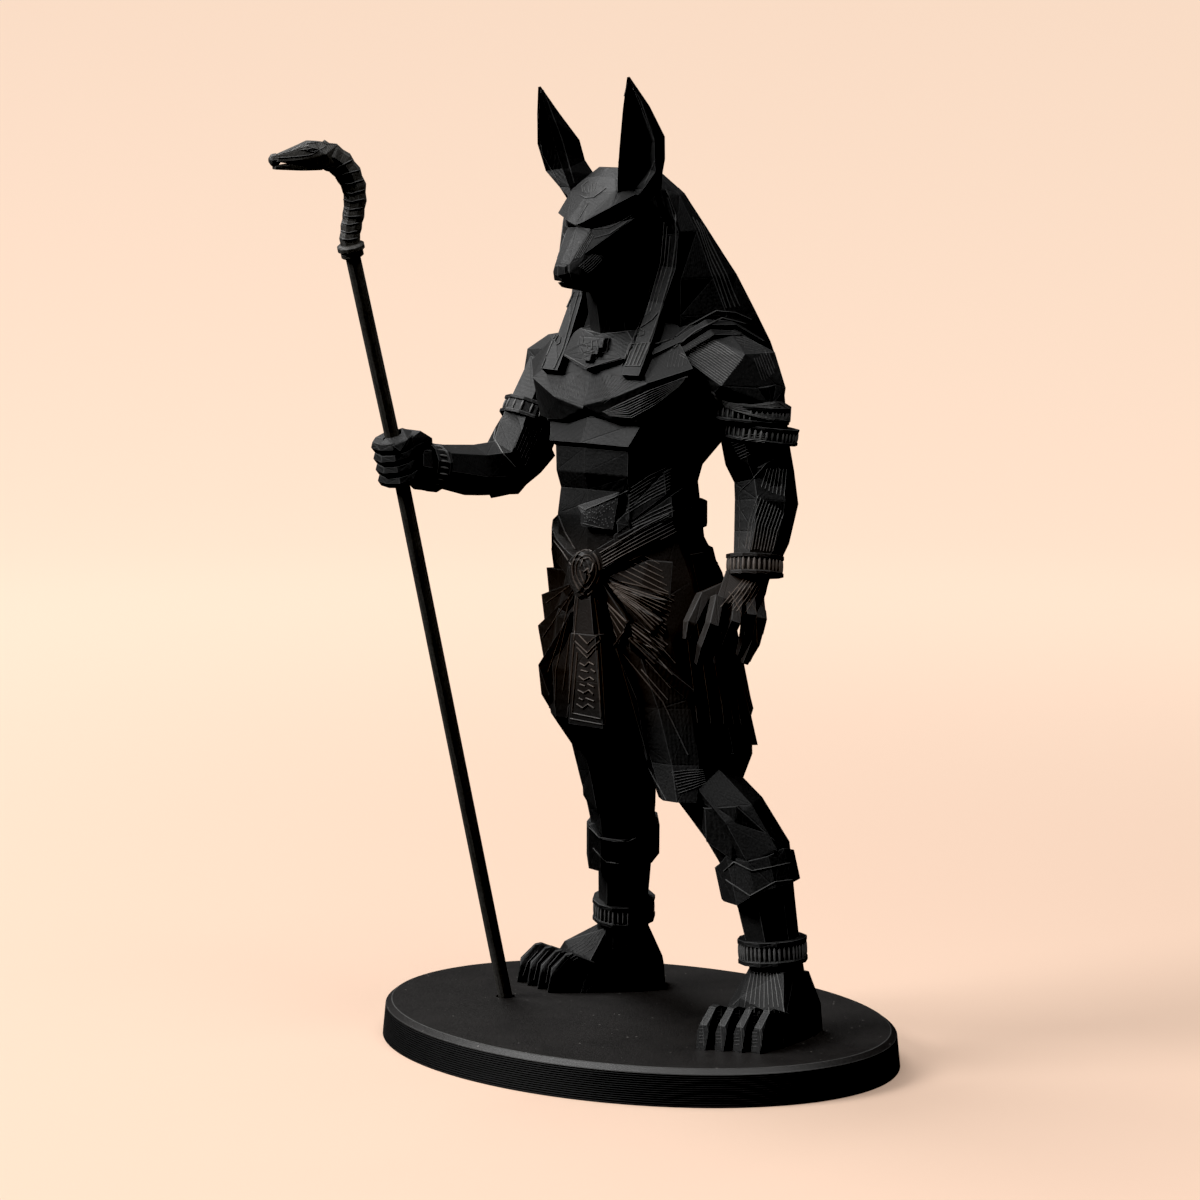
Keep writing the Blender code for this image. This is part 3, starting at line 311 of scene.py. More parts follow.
def plastic(name, colour, wear_and_highlight, axis, spacing=LAYER_TALL, roughness=0.5, lines=0.5, grain=0.3, gloss=0.5,
            wear_highlight_strength=0.6, dust_amount=0.3, bounce_tint_amount=0.0):
    """Black filament with layer lines along an axis, paler edges that are partly a painted highlight, dust,
    and a painted warm bounce tint if asked.
    """
    material = bpy.data.materials.new(name)
    material.use_nodes = True
    tree = material.node_tree
    shader = tree.nodes["Principled BSDF"]
    shader.inputs["Specular IOR Level"].default_value = gloss
    layers = place_group(tree, layer_lines, Axis=axis, Spacing=spacing)
    edges = place_group(tree, worn_and_highlit_edges, Strength=wear_highlight_strength)
    specks = place_group(tree, dust, Amount=dust_amount)
    tone = noise_node(tree, object_place(tree), TONE_SCALE, 3.0, 0.6)
    tone = math_node(tree, "MULTIPLY_ADD", layers.outputs["Grain"], GRAIN_SHARE, tone)
    tone = math_node(tree, "SUBTRACT", tone, 0.5 * GRAIN_SHARE)
    tone.node.use_clamp = True
    shade = mix_colour(tree, tone, *([c * share for c in colour] for share in TONE_RANGE))
    # Painted light: warm light bounced from the peach floor is painted into the colour as a brownish tint.
    if bounce_tint_amount > 0:
        bounce_node = place_group(tree, painted_bounce_light, Amount=bounce_tint_amount)
        shade = mix_colour(tree, bounce_node.outputs["Mask"], shade, [c * w for c, w in zip(colour, BOUNCE_TINT)])
    # Partly painted highlight: marked edges turn paler, as wear and as the thin highlight an edge catches.
    shade = mix_colour(tree, edges.outputs["Mask"], shade, wear_and_highlight)
    shade = mix_colour(tree, specks.outputs["Mask"], shade, DUST_COLOUR)
    tree.links.new(shade, shader.inputs["Base Color"])
    matte = math_node(tree, "MULTIPLY_ADD", layers.outputs["Grain"], MATTE_SWING,
                      roughness - MATTE_SWING / 2)
    tree.links.new(matte, shader.inputs["Roughness"])
    height = math_node(tree, "MULTIPLY", layers.outputs["Height"], lines)
    height = math_node(tree, "MULTIPLY_ADD", layers.outputs["Grain"], grain, height)
    bump = tree.nodes.new("ShaderNodeBump")
    bump.inputs["Distance"].default_value = BUMP_DEEP
    bump.inputs["Strength"].default_value = 1.0
    tree.links.new(height, bump.inputs["Height"])
    tree.links.new(bump.outputs["Normal"], shader.inputs["Normal"])
    return material


FIGURE_BLACK = (0.0095, 0.0093, 0.0092)
# Painted highlight: raised strokes are the same black plastic, painted paler so they read as lit, ridges
# most.
RELIEF_HIGHLIGHT_GREY = (0.068, 0.067, 0.066)
RIDGE_HIGHLIGHT_GREY = (0.135, 0.133, 0.130)
# Partly wear, partly painted highlight: the paler colour of the marked facet edges.
WORN_AND_HIGHLIT_GREY = (0.24, 0.24, 0.24)
FACE_ON = (0.0, -1.0, 0.0)
UPRIGHT = (0.0, 0.0, 1.0)
body_black = plastic("body_black", FIGURE_BLACK, WORN_AND_HIGHLIT_GREY, axis=FACE_ON, roughness=0.58, lines=0.3,
                     grain=1.1, bounce_tint_amount=0.9)
relief_highlight = plastic("relief_highlight", RELIEF_HIGHLIGHT_GREY, WORN_AND_HIGHLIT_GREY, axis=FACE_ON, lines=0.3, grain=0.4,
                       bounce_tint_amount=0.7)
ridge_highlight = plastic("ridge_highlight", RIDGE_HIGHLIGHT_GREY, WORN_AND_HIGHLIT_GREY, axis=FACE_ON, lines=0.2, grain=0.4, bounce_tint_amount=0.5)
plinth_black = plastic("plinth_black", (0.0125, 0.0112, 0.0105), (0.2, 0.2, 0.195), axis=UPRIGHT,
                       roughness=0.48, lines=0.0, grain=0.5, dust_amount=0.9)
# Painted shade: the plinth's side is the same plastic as its top, painted darker as the shade it lies in.
plinth_side_shade = plastic("plinth_side_shade", (0.0035, 0.0034, 0.0033), (0.05, 0.05, 0.05), axis=UPRIGHT,
                     roughness=0.6, lines=0.0, grain=0.4, gloss=0.28, dust_amount=0.2)
# Painted highlight: the rod is the same black plastic, its colour raised so its lit side shows a highlight.
rod_painted_highlight = plastic("rod_painted_highlight", (0.056, 0.053, 0.048), (0.24, 0.24, 0.24), axis=(0.3, 0.9, 0.3),
                    roughness=0.5, lines=0.4, grain=0.4)
print("plastics:", [m.name for m in bpy.data.materials])

# %% [markdown]
# ## Skins with softened edges
# A printer can't lay down a perfectly sharp edge. Each CAD triangle gets a narrow rim, and the corners of
# the form are drawn in by a few hundredths of a millimetre, so every facet edge turns over two steps and
# catches a thin line of light. The rim also carries a mark called edge, which the edge group reads to paint
# the edge paler, partly as wear and partly as a painted highlight.
# On the solid, the end of the collar rim pokes out through the side of the headcloth; the skin presses it
# flat.

# %% Make the skin of a node
RIM = 0.15 * MM
RIM_SHARE = 0.35
SHARP_FROM = math.radians(14)
SHARP_SPAN = math.radians(30)
TOO_SMALL = 0.02 * MM
CLOTH_FACE = [Vector(p) * MM for p in ((-14.5, 6.0, 110.3), (-12.1, 16.2, 110.3), (-12.9, 17.6, 106.0))]
POKING_CORNER = Vector((-14.3, 10.5, 108.9)) * MM
POKE_REACH = 1.2 * MM
POKE_KEPT = 0.1


def press_corner(bm):
    """Brings the corner that pokes through the headcloth's side back to just above the cloth."""
    a, b, c = CLOTH_FACE
    out = (b - a).cross(c - a).normalized()
    lifts = []
    for vert in bm.verts:
        lift = (vert.co - a).dot(out)
        if lift > 0 and (vert.co - POKING_CORNER).length < POKE_REACH:
            vert.co -= out * (lift * (1 - POKE_KEPT))
            lifts.append(lift / MM)
    highest = round(max(lifts, default=0.0), 2)
    print("pressed", len(lifts), "corners down to the cloth, the highest from", highest, "mm")


def soft_skin(node, name, material, rounding=0.35):
    """A copy of a node in which every triangle has a rim, and sharp convex edges are drawn in."""
    bm = welded(node)
    if node == "figure":
        press_corner(bm)
    bmesh.ops.triangulate(bm, faces=bm.faces)
    bm.normal_update()
    sharp = {}
    pull = {}
    for edge in bm.edges:
        if len(edge.link_faces) != 2:
            continue
        bend = edge.calc_face_angle_signed(0.0)
        sharp[edge] = max(0.0, min(1.0, (bend - SHARP_FROM) / SHARP_SPAN))
        if sharp[edge] > 0:
            for vert in edge.verts:
                pull[vert] = max(pull.get(vert, 0.0), math.sin(bend / 2))
    points, faces, marks = [], [], []
    index = {}
    for vert in bm.verts:
        index[vert] = len(points)
        points.append(vert.co - vert.normal * (pull.get(vert, 0.0) * RIM * rounding))
    for face in bm.faces:
        a, b, c = (loop.vert.co for loop in face.loops)
        la, lb, lc = (b - c).length, (c - a).length, (a - b).length
        around = la + lb + lc
        centre = (a * la + b * lb + c * lc) / around
        reach = 2 * face.calc_area() / around
        if reach < TOO_SMALL:
            faces.append([index[v] for v in face.verts])
            marks.append([0.0, 0.0, 0.0])
            continue
        keep = 1 - min(RIM, reach * RIM_SHARE) / reach
        first = len(points)
        points.extend(centre + (p - centre) * keep for p in (a, b, c))
        faces.append([first, first + 1, first + 2])
        marks.append([0.0, 0.0, 0.0])
        for k, loop in enumerate(face.loops):
            wear_and_highlight = sharp.get(loop.edge, 0.0)
            n = (k + 1) % 3
            faces.append([index[loop.vert], index[loop.link_loop_next.vert], first + n, first + k])
            marks.append([wear_and_highlight, wear_and_highlight, 0.0, 0.0])
    bm.free()
    mesh = bpy.data.meshes.new(name)
    mesh.from_pydata(points, [], faces)
    # The edge mark drives the paler edge colour, partly wear and partly a painted highlight.
    mark = mesh.attributes.new("edge", "FLOAT", "CORNER")
    mark.data.foreach_set("value", [m for row in marks for m in row])
    mesh.materials.append(material)
    piece = bpy.data.objects.new(name, mesh)
    bpy.context.scene.collection.objects.link(piece)
    print(name, "has", sum(len(f) - 2 for f in faces), "triangles")
    return piece


figure_skin = soft_skin("figure", "figure_skin", body_black)
staff_skin = soft_skin("staff", "staff_skin", rod_painted_highlight)
for piece, node in ((figure_skin, "figure"), (staff_skin, "staff")):
    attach(piece, "root")
    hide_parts(node)

# %% [markdown]
# ## The plinth
# The plinth follows a rule, so it is drawn by formula and not copied: an oval, a little wider at the
# foot, with a sloping rim. It was printed lying flat, so its side is a stack of rounded layers, which are
# real ridges here. The rod's socket is a slanted hole in the top.

# %% Draw the oval plinth
PLINTH_HALF = (43.0, 31.7)
PLINTH_TALL = 5.7
RIM_WIDE = 1.0
RIM_DROP = 0.7
PLINTH_FLARE = 0.5
PLINTH_LAYER = 0.34
LAYER_DEEP = 0.07
SIDE_TOP = 4.9
PLINTH_STEPS = 168
ROD_FOOT = Vector((-22.68, -5.24, 5.7))
ROD_GRIP = Vector((-20.2, -32.95, 94.2))
SOCKET_WIDE = 1.5
SOCKET_FLOOR = 2.2
SOCKET_STEPS = 28


def plinth_outline():
    """Growth beyond the top oval, height, and whether the ring lies on the rim's edge, from the foot up."""
    shoulder = PLINTH_TALL - RIM_DROP
    count = round(shoulder / PLINTH_LAYER)
    rows = [(RIM_WIDE + PLINTH_FLARE - 0.25, 0.0, 0)]
    for k in range(count):
        for share, deep in ((0.08, LAYER_DEEP), (0.3, 0.0), (0.7, 0.0), (0.92, LAYER_DEEP)):
            height = (k + share) / count * shoulder
            rows.append((RIM_WIDE + PLINTH_FLARE * (1 - height / shoulder) - deep, height, 0))
    rows += [(RIM_WIDE - 0.06, shoulder + 0.01, 1), (RIM_WIDE - 0.16, shoulder + 0.1, 0),
             (0.14, PLINTH_TALL - 0.07, 0), (0.0, PLINTH_TALL - 0.02, 1), (-0.12, PLINTH_TALL, 0)]
    return rows


def build_plinth():
    bm = bmesh.new()
    wear_and_highlight = bm.verts.layers.float.new("edge")
    rings = []
    for wider, height, edge in plinth_outline():
        ring = []
        for k in range(PLINTH_STEPS):
            a = 2 * math.pi * k / PLINTH_STEPS
            vert = bm.verts.new(Vector(((PLINTH_HALF[0] + wider) * math.cos(a),
                                        (PLINTH_HALF[1] + wider) * math.sin(a), height)) * MM)
            vert[wear_and_highlight] = edge
            ring.append(vert)
        rings.append(ring)
    for low, high in zip(rings, rings[1:]):
        for k in range(PLINTH_STEPS):
            n = (k + 1) % PLINTH_STEPS
            face = bm.faces.new((low[k], low[n], high[n], high[k]))
            # Faces below the rim take the side material, painted darker as shade.
            face.material_index = 1 if high[k].co.z < SIDE_TOP * MM else 0
    bm.faces.new(list(reversed(rings[0])))
    lean = (ROD_GRIP - ROD_FOOT).normalized()
    floor = ROD_FOOT - lean * ((PLINTH_TALL - SOCKET_FLOOR) / lean.z)
    hole = []
    for middle in (ROD_FOOT, floor):
        hole.append([bm.verts.new((middle + Vector((math.cos(a), math.sin(a), 0)) * SOCKET_WIDE) * MM)
                     for a in (2 * math.pi * k / SOCKET_STEPS for k in range(SOCKET_STEPS))])
    for k in range(SOCKET_STEPS):
        n = (k + 1) % SOCKET_STEPS
        bm.faces.new((hole[0][k], hole[0][n], hole[1][n], hole[1][k]))
    bm.faces.new(hole[1])
    rim = [bm.edges.get((a, b)) for ring in (rings[-1], hole[0]) for a, b in zip(ring, ring[1:] + ring[:1])]
    bmesh.ops.triangle_fill(bm, edges=rim, use_beauty=True)
    bmesh.ops.recalc_face_normals(bm, faces=bm.faces)
    mesh = bpy.data.meshes.new("plinth")
    bm.to_mesh(mesh)
    bm.free()
    mesh.materials.append(plinth_black)
    mesh.materials.append(plinth_side_shade)
    return mesh


plinth = bpy.data.objects.new("plinth", build_plinth())
bpy.context.scene.collection.objects.link(plinth)
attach(plinth, "root")
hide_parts("base")
print("plinth has", sum(len(f.vertices) - 2 for f in plinth.data.polygons), "triangles")

# %% [markdown]
# ## Lines that follow the surface
# Raised edges, pleat lines and the grooves between them all follow a path over the facets. Geometry Nodes
# suit this: one small tree sweeps a flat topped profile along any guide wire and turns it to stand on the
# surface. The guides are drawn in the view, or from behind and from the sides for what the view hides.

# %% Start helpers for geometry node trees


def new_tree(name, inputs):
    """An empty geometry tree with named inputs; each input is given as (socket kind, first value)."""
    tree = bpy.data.node_groups.new(name, "GeometryNodeTree")
    tree.interface.new_socket("Geometry", in_out="INPUT", socket_type="NodeSocketGeometry")
    for label, (kind, value) in inputs.items():
        socket = tree.interface.new_socket(label, in_out="INPUT", socket_type="NodeSocket" + kind)
        if value is not None:
            socket.default_value = value
    tree.interface.new_socket("Geometry", in_out="OUTPUT", socket_type="NodeSocketGeometry")
    return tree, tree.nodes.new("NodeGroupInput"), tree.nodes.new("NodeGroupOutput")


def step(tree, kind, given, **settings):
    """Adds a node, sets its properties and connects or sets its inputs; returns its first output."""
    node = tree.nodes.new(kind)
    for label, value in settings.items():
        setattr(node, label, value)
    for label, value in given.items():
        socket = node.inputs[label]
        if isinstance(value, bpy.types.NodeSocket):
            tree.links.new(value, socket)
        else:
            socket.default_value = value
    return node.outputs[0]


def finish_tree(tree, geometry, given, made):
    """Every tree ends in real meshes with a material."""
    real = step(tree, "GeometryNodeRealizeInstances", {"Geometry": geometry})
    done = step(tree, "GeometryNodeSetMaterial", {"Geometry": real, "Material": given.outputs["Material"]})
    tree.links.new(done, made.inputs["Geometry"])


def grow(name, mesh, tree, place=None, **values):
    """Runs a tree on a mesh and keeps the result as a plain mesh with its faces outwards."""
    seed = bpy.data.objects.new(name + "_guide", mesh)
    bpy.context.scene.collection.objects.link(seed)
    modifier = seed.modifiers.new("grow", "NODES")
    modifier.node_group = tree
    sockets = {item.name: item.identifier for item in tree.interface.items_tree if item.in_out == "INPUT"}
    for label, value in values.items():
        modifier[sockets[label.replace("_", " ")]] = value
    graph = bpy.context.evaluated_depsgraph_get()
    grown = bpy.data.meshes.new_from_object(seed.evaluated_get(graph))
    bpy.data.objects.remove(seed)
    if place is not None:
        grown.transform(place)
    bm = bmesh.new()
    bm.from_mesh(grown)
    bmesh.ops.recalc_face_normals(bm, faces=bm.faces)
    bm.to_mesh(grown)
    bm.free()
    grown.name = name
    return grown


def show(name, meshes):
    """One piece from one or more finished meshes, riding on the still body."""
    bm = bmesh.new()
    materials = []
    for mesh in meshes:
        shift = len(materials)
        materials.extend(mesh.materials)
        before = len(bm.faces)
        bm.from_mesh(mesh)
        bm.faces.ensure_lookup_table()
        for face in bm.faces[before:]:
            face.material_index += shift
    joined = bpy.data.meshes.new(name)
    bm.to_mesh(joined)
    bm.free()
    for material in materials:
        joined.materials.append(material)
    piece = bpy.data.objects.new(name, joined)
    bpy.context.scene.collection.objects.link(piece)
    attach(piece, "root")
    print(name, "has", sum(len(p.vertices) - 2 for p in joined.polygons), "triangles")


# %% Build the raised line tree
def build_raised_line():
    """A flat topped bead along each guide wire, standing on the surface its points face away from."""
    tree, given, made = new_tree("raised_line",
                                 {"Width": ("Float", 0.2 * MM), "Height": ("Float", 0.08 * MM),
                                  "Sink": ("Float", 0.06 * MM), "Crown": ("Float", 0.5),
                                  "Material": ("Material", None)})
    wire = step(tree, "GeometryNodeMeshToCurve", {"Mesh": given.outputs["Geometry"]})
    facing = step(tree, "GeometryNodeInputNamedAttribute", {"Name": "facing"}, data_type="FLOAT_VECTOR")
    wire = step(tree, "GeometryNodeSetCurveNormal", {"Curve": wire, "Normal": facing}, mode="FREE")

    def corner(high, side):
        """A corner of the profile: its x stands off the surface and its y lies across the line."""
        half = step(tree, "ShaderNodeMath", {0: given.outputs["Width"], 1: 0.5 * side},
                    operation="MULTIPLY")
        if high:
            half = step(tree, "ShaderNodeMath", {0: half, 1: given.outputs["Crown"]}, operation="MULTIPLY")
            out = given.outputs["Height"]
        else:
            out = step(tree, "ShaderNodeMath", {0: given.outputs["Sink"], 1: -1.0}, operation="MULTIPLY")
        return step(tree, "ShaderNodeCombineXYZ", {"X": out, "Y": half})

    profile = step(tree, "GeometryNodeCurvePrimitiveQuadrilateral",
                   {"Point 1": corner(False, -1), "Point 2": corner(True, -1), "Point 3": corner(True, 1),
                    "Point 4": corner(False, 1)}, mode="POINTS")
    bead = step(tree, "GeometryNodeCurveToMesh",
                {"Curve": wire, "Profile Curve": profile, "Fill Caps": True})
    finish_tree(tree, bead, given, made)
    return tree


raised_line = build_raised_line()
print("tree", raised_line.name, "takes",
      [i.name for i in raised_line.interface.items_tree if i.in_out == "INPUT"])


# %% Make helpers that draw guides on the surface
PX = 0.157 * MM
TRACE_STEP = 3.0
STEP_BACK = 1.0 * MM
OUTSIDE = 200 * MM
LEVEL_STEP = 0.6


def trace(path, aim=spot, stride=TRACE_STEP, gap=STEP_BACK):
    """Lays a drawn line on the surface; it breaks where the surface steps back behind something."""
    runs, run = [], []
    for (u0, v0), (u1, v1) in zip(path, path[1:]):
        count = max(1, round(math.hypot(u1 - u0, v1 - v0) / stride))
        for k in range(count + 1):
            if run and k == 0:
                continue
            t = k / count
            place, facing = aim(u0 + (u1 - u0) * t, v0 + (v1 - v0) * t)
            broken = place is None or (run and (place - run[-1][0]).length > stride * PX + gap)
            if broken:
                if len(run) > 1:
                    runs.append(run)
                run = []
            if place is not None:
                run.append((place, facing))
    if len(run) > 1:
        runs.append(run)
    return runs


def set_facing(mesh, points):
    """Stores on a mesh which way the surface faces at each traced point."""
    facing = mesh.attributes.new("facing", "FLOAT_VECTOR", "POINT")
    facing.data.foreach_set("vector", [c for p in points for c in p[1]])


def guide(name, runs):
    """A wire mesh through the traced runs that remembers which way the surface faces."""
    points = [p for run in runs for p in run]
    edges, first = [], 0
    for run in runs:
        edges.extend((first + k, first + k + 1) for k in range(len(run) - 1))
        first += len(run)
    mesh = bpy.data.meshes.new(name)
    mesh.from_pydata([p[0] for p in points], edges, [])
    set_facing(mesh, points)
    return mesh


def lines(name, paths, width=0.2, height=0.08, crown=0.5, material=None, aim=spot, stride=TRACE_STEP):
    """Raised lines along drawn paths; width and height are in millimetres."""
    runs = [run for path in paths for run in trace(path, aim, stride)]
    return grow(name, guide(name, runs), raised_line, Width=width * MM, Height=height * MM, Crown=crown,
                Material=material or relief_highlight)


def mirrored(middle=0.5, reach=1.5):
    """An aim at the same spot on the figure's other side, past a middle plane; lengths in millimetres."""
    def aim(u, v):
        place, _ = spot(u, v)
        if place is None:
            return None, None
        other = Vector((2 * middle * MM - place.x, place.y, place.z))
        place, facing, _, _ = surface["figure"].find_nearest(other, reach * MM)
        return place, facing
    return aim


def level_aim(turn, node="figure"):
    """An aim from a level view, turned by degrees from the front; places are millimetres across and up."""
    ahead = Vector((-math.sin(math.radians(turn)), math.cos(math.radians(turn)), 0.0))
    across = Vector((math.cos(math.radians(turn)), math.sin(math.radians(turn)), 0.0))

    def aim(x, z):
        start = across * (x * MM) + Vector((0, 0, z * MM)) - ahead * OUTSIDE
        place, facing, _, _ = surface[node].ray_cast(start, ahead)
        return place, facing
    return aim


def between(first, last, count, edges=False):
    """Evenly spaced paths from one drawn line to another; both have the same number of points."""
    spaced = []
    for k in range(count):
        t = k / (count - 1) if edges else (k + 0.5) / count
        spaced.append([(a[0] + (b[0] - a[0]) * t, a[1] + (b[1] - a[1]) * t) for a, b in zip(first, last)])
    return spaced


def ragged(paths, seed, along=0.06, across=0.35):
    """The same paths with slightly uneven ends and a little wander, as a worn print has."""
    dice = random.Random(seed)
    rough = []
    for path in paths:
        start, end = dice.uniform(0, along), 1 - dice.uniform(0, along)
        shift = dice.uniform(-across, across)
        first, last = Vector(path[0]), Vector(path[-1])
        moved = [Vector(p) + Vector((shift, dice.uniform(-across, across))) for p in path]
        moved[0] = first.lerp(moved[1], start)
        moved[-1] = last.lerp(moved[-2], 1 - end)
        rough.append([tuple(p) for p in moved])
    return rough


# %% Make a helper for thin plates that bridge a hollow
def slab(name, top, foot, out=0.3, sink=0.5, count=14, node="figure"):
    """A thin plate from one drawn line to another; it stands off the surface and spans what is between."""
    def along(path, t):
        spans = [math.dist(a, b) for a, b in zip(path, path[1:])]
        left = t * sum(spans)
        for (a, b), span in zip(zip(path, path[1:]), spans):
            if left <= span or (a, b) == (path[-2], path[-1]):
                return tuple(a[i] + (b[i] - a[i]) * left / span for i in (0, 1))
            left -= span

    bm = bmesh.new()
    rows = []
    for k in range(count + 1):
        ends = [spot(*along(path, k / count), node) for path in (top, foot)]
        if any(place is None for place, _ in ends):
            continue
        facing = (ends[0][1] + ends[1][1]).normalized()
        rows.append([bm.verts.new(place + facing * lift * MM) for lift in (out, -sink)
                     for place, _ in ends])
    for a, b in zip(rows, rows[1:]):
        for i, j in ((0, 1), (1, 3), (3, 2), (2, 0)):
            bm.faces.new((a[i], a[j], b[j], b[i]))
    for row in (rows[0], rows[-1]):
        bm.faces.new((row[0], row[1], row[3], row[2]))
    bmesh.ops.recalc_face_normals(bm, faces=bm.faces)
    surface[name] = BVHTree.FromBMesh(bm)
    mesh = bpy.data.meshes.new(name)
    bm.to_mesh(mesh)
    bm.free()
    mesh.materials.append(relief_highlight)
    return mesh


def plate_spot(name):
    """An aim that finds the surface of a plate made by slab."""
    return lambda u, v: spot(u, v, name)


# %% [markdown]
# ## Lappets of the headcloth
# Two cloth ends hang from the headcloth onto the chest. Each has a raised hem on both sides, slots, a
# rivet and a ribbed end block. The near one is drawn by its real outline; the far one shows less, so it
# is plainer.

# %% Trim the lappets
LAPPET_OUTER = [(665, 188), (675, 215), (676, 241), (672, 270), (658, 318), (641, 364)]
LAPPET_INNER = [(661, 232), (657, 262), (642, 317), (623, 365)]
LAPPET_GROOVES = ([(667, 226), (664, 262), (650, 312)], [(670, 236), (667, 266), (655, 308)],
                  [(664, 222), (660.5, 262), (646, 315)])
LAPPET_BAND = [(632, 341), (640, 328), (652, 320), (661, 309)]
LAPPET_BLOCK_TOP = ((630, 344), (650, 343))
LAPPET_BLOCK_FOOT = ((622, 366), (640, 366))
FAR_OUTER = [(574, 292), (566, 310), (556, 333), (541, 370)]
FAR_INNER = [(579, 292), (571, 320), (563, 349), (554, 369)]
LAPPET_DROP = [(640, 329), (644, 331), (644, 335), (640, 336), (637, 333), (640, 329)]
FAR_DROP = [(559, 334), (561, 338), (560, 343), (557, 345), (555, 341), (559, 334)]
trims = [lines("hem", [LAPPET_OUTER, LAPPET_INNER, FAR_OUTER, FAR_INNER], 0.32, 0.16),
         lines("slots", LAPPET_GROOVES, 0.16, 0.08, material=ridge_highlight),
         lines("band", [LAPPET_BAND], 0.26, 0.16),
         lines("drops", [LAPPET_DROP, FAR_DROP], 0.2, 0.14, stride=1.5),
         lines("block",
               between([LAPPET_BLOCK_TOP[0], LAPPET_BLOCK_FOOT[0]],
                       [LAPPET_BLOCK_TOP[1], LAPPET_BLOCK_FOOT[1]], 6, edges=True), 0.26, 0.16,
               material=ridge_highlight),
         lines("block_ends", [LAPPET_BLOCK_TOP, LAPPET_BLOCK_FOOT], 0.26, 0.14)]
show("lappet_trim", trims)

# %% [markdown]
# ## Collar, necklace and pendant
# The broad collar lies over the shoulders with two raised rims. The necklace ends in a V on the chest,
# and the pendant on it is a stepped plate with three upright slots. Only the rims need a line: the steps
# themselves are in the solid.

# %% Draw the collar and the pendant
COLLAR_RIM_HIGH = [(655, 344), (673, 339), (690, 325), (716, 311), (735, 313), (751, 320)]
COLLAR_RIM_LOW = [(674, 348), (696, 331), (722, 318), (745, 324)]
NECKLACE_V = [(565, 355), (588, 368), (604, 363), (621, 358)]
NECKLACE_TOP = [(584, 330), (600, 334), (616, 333), (631, 331)]
PENDANT_STEPS = [(583, 337), (583, 344), (587, 345), (588, 351), (594, 352), (596, 359), (601, 353),
                 (607, 352), (607, 343), (609, 338)]
PENDANT_SLOTS = [[(592, 341), (592, 349)], [(597, 340), (598, 350)], [(603, 340), (603, 348)]]
show("collar_trim",
     [lines("rims", [COLLAR_RIM_HIGH, COLLAR_RIM_LOW], 0.34, 0.16),
      lines("necklace", [NECKLACE_V, NECKLACE_TOP], 0.24, 0.12),
      lines("pendant", [PENDANT_STEPS], 0.22, 0.12),
      lines("pendant_slots", PENDANT_SLOTS, 0.3, 0.14)])

# %% [markdown]
# ## Hatched facets
# Where a facet lies nearly along the printer's layers, the layers show as a fan of fine ridges. They are
# cut as real ridges here, on the facets where the print shows them: breast, shoulder, arms and kilt.

# %% Hatch the breast, the shoulder and the arms
# The fine hatching uses the ridge material, whose paler colour is a painted highlight.
FINE = {"width": 0.17, "height": 0.07, "material": ridge_highlight}
FAINT = {"width": 0.12, "height": 0.045, "material": relief_highlight}
BREAST = ([(602, 412), (622, 402), (650, 389), (690, 375)],
          [(610, 416), (632, 419), (656, 406), (680, 386)])
BREAST_RISE = ([(594, 372), (592, 398)], [(646, 374), (604, 404)])
NEAR_BREAST = ([(548, 376), (560, 402)], [(580, 372), (588, 398)])
BREAST_FLANK = ([(670, 348), (664, 372)], [(690, 352), (688, 366)])
SHOULDER_FLANK = ([(752, 356), (762, 384)], [(768, 348), (777, 370)])
SHOULDER = ([(704, 335), (724, 344), (744, 358)], [(678, 355), (698, 368), (722, 385)])
SHOULDER_TOP = ([(718, 322), (768, 342)], [(748, 352), (764, 354)])
UPPER_ARM = ([(728, 439), (746, 434), (765, 433)], [(741, 461), (754, 454), (766, 450)])
ELBOW_FACET = ([(766, 468), (759, 488)], [(788, 468), (786, 498)])
FOREARM = ([(757, 494), (748, 520), (744, 549)], [(786, 512), (779, 532), (774, 552)])
FOREARM_RIDGE = [(766, 464), (750, 482), (739, 492), (740, 520), (739, 548)]
HAND_BACK = ([(743, 578), (731, 592), (718, 607)], [(766, 580), (757, 598), (746, 615)])
NEAR_ARM = ([(522, 425), (512, 450)], [(546, 424), (526, 468)])
CROOK = [(503, 414), (496, 426), (494, 438), (504, 455), (515, 467)]
arm_lines = [lines("shoulder", ragged(between(*SHOULDER, 14), 2, 0.03), **FINE),
             lines("shoulder_top", ragged(between(*SHOULDER_TOP, 8), 4, 0.15), **FAINT),
             lines("shoulder_flank", ragged(between(*SHOULDER_FLANK, 7), 5, 0.15), **FAINT),
             lines("upper_arm", ragged(between(*UPPER_ARM, 8), 6), **FINE),
             lines("elbow", ragged(between(*ELBOW_FACET, 7), 8), **FINE),
             lines("forearm", ragged(between(*FOREARM, 10), 10), **FINE),
             lines("forearm_ridge", [FOREARM_RIDGE], 0.22, 0.08),
             lines("hand_back", ragged(between(*HAND_BACK, 7), 12), **FINE),
             lines("near_arm", ragged(between(*NEAR_ARM, 6), 14, 0.2), **FAINT),
             lines("crook", [CROOK], 0.26, 0.12, material=ridge_highlight)]
chest_lines = [lines("breast", ragged(between(*BREAST, 8), 16), **FINE),
               lines("near_breast", ragged(between(*NEAR_BREAST, 10), 18, 0.2), **FAINT),
               lines("breast_rise", ragged(between(*BREAST_RISE, 12), 19, 0.2), **FAINT),
               lines("breast_flank", ragged(between(*BREAST_FLANK, 6), 21, 0.2), **FAINT)]
show("facet_hatching", arm_lines + chest_lines)

# %% [markdown]
# ## Wraps, sash and belt plate
# Below the ribs two wraps cross the waist, and the sash runs over the hip to the medallion. The cloth
# reads as cloth because fine raised lines run along each strip and a heavier hem closes it on both sides.
# The V shaped plate is stippled all over.

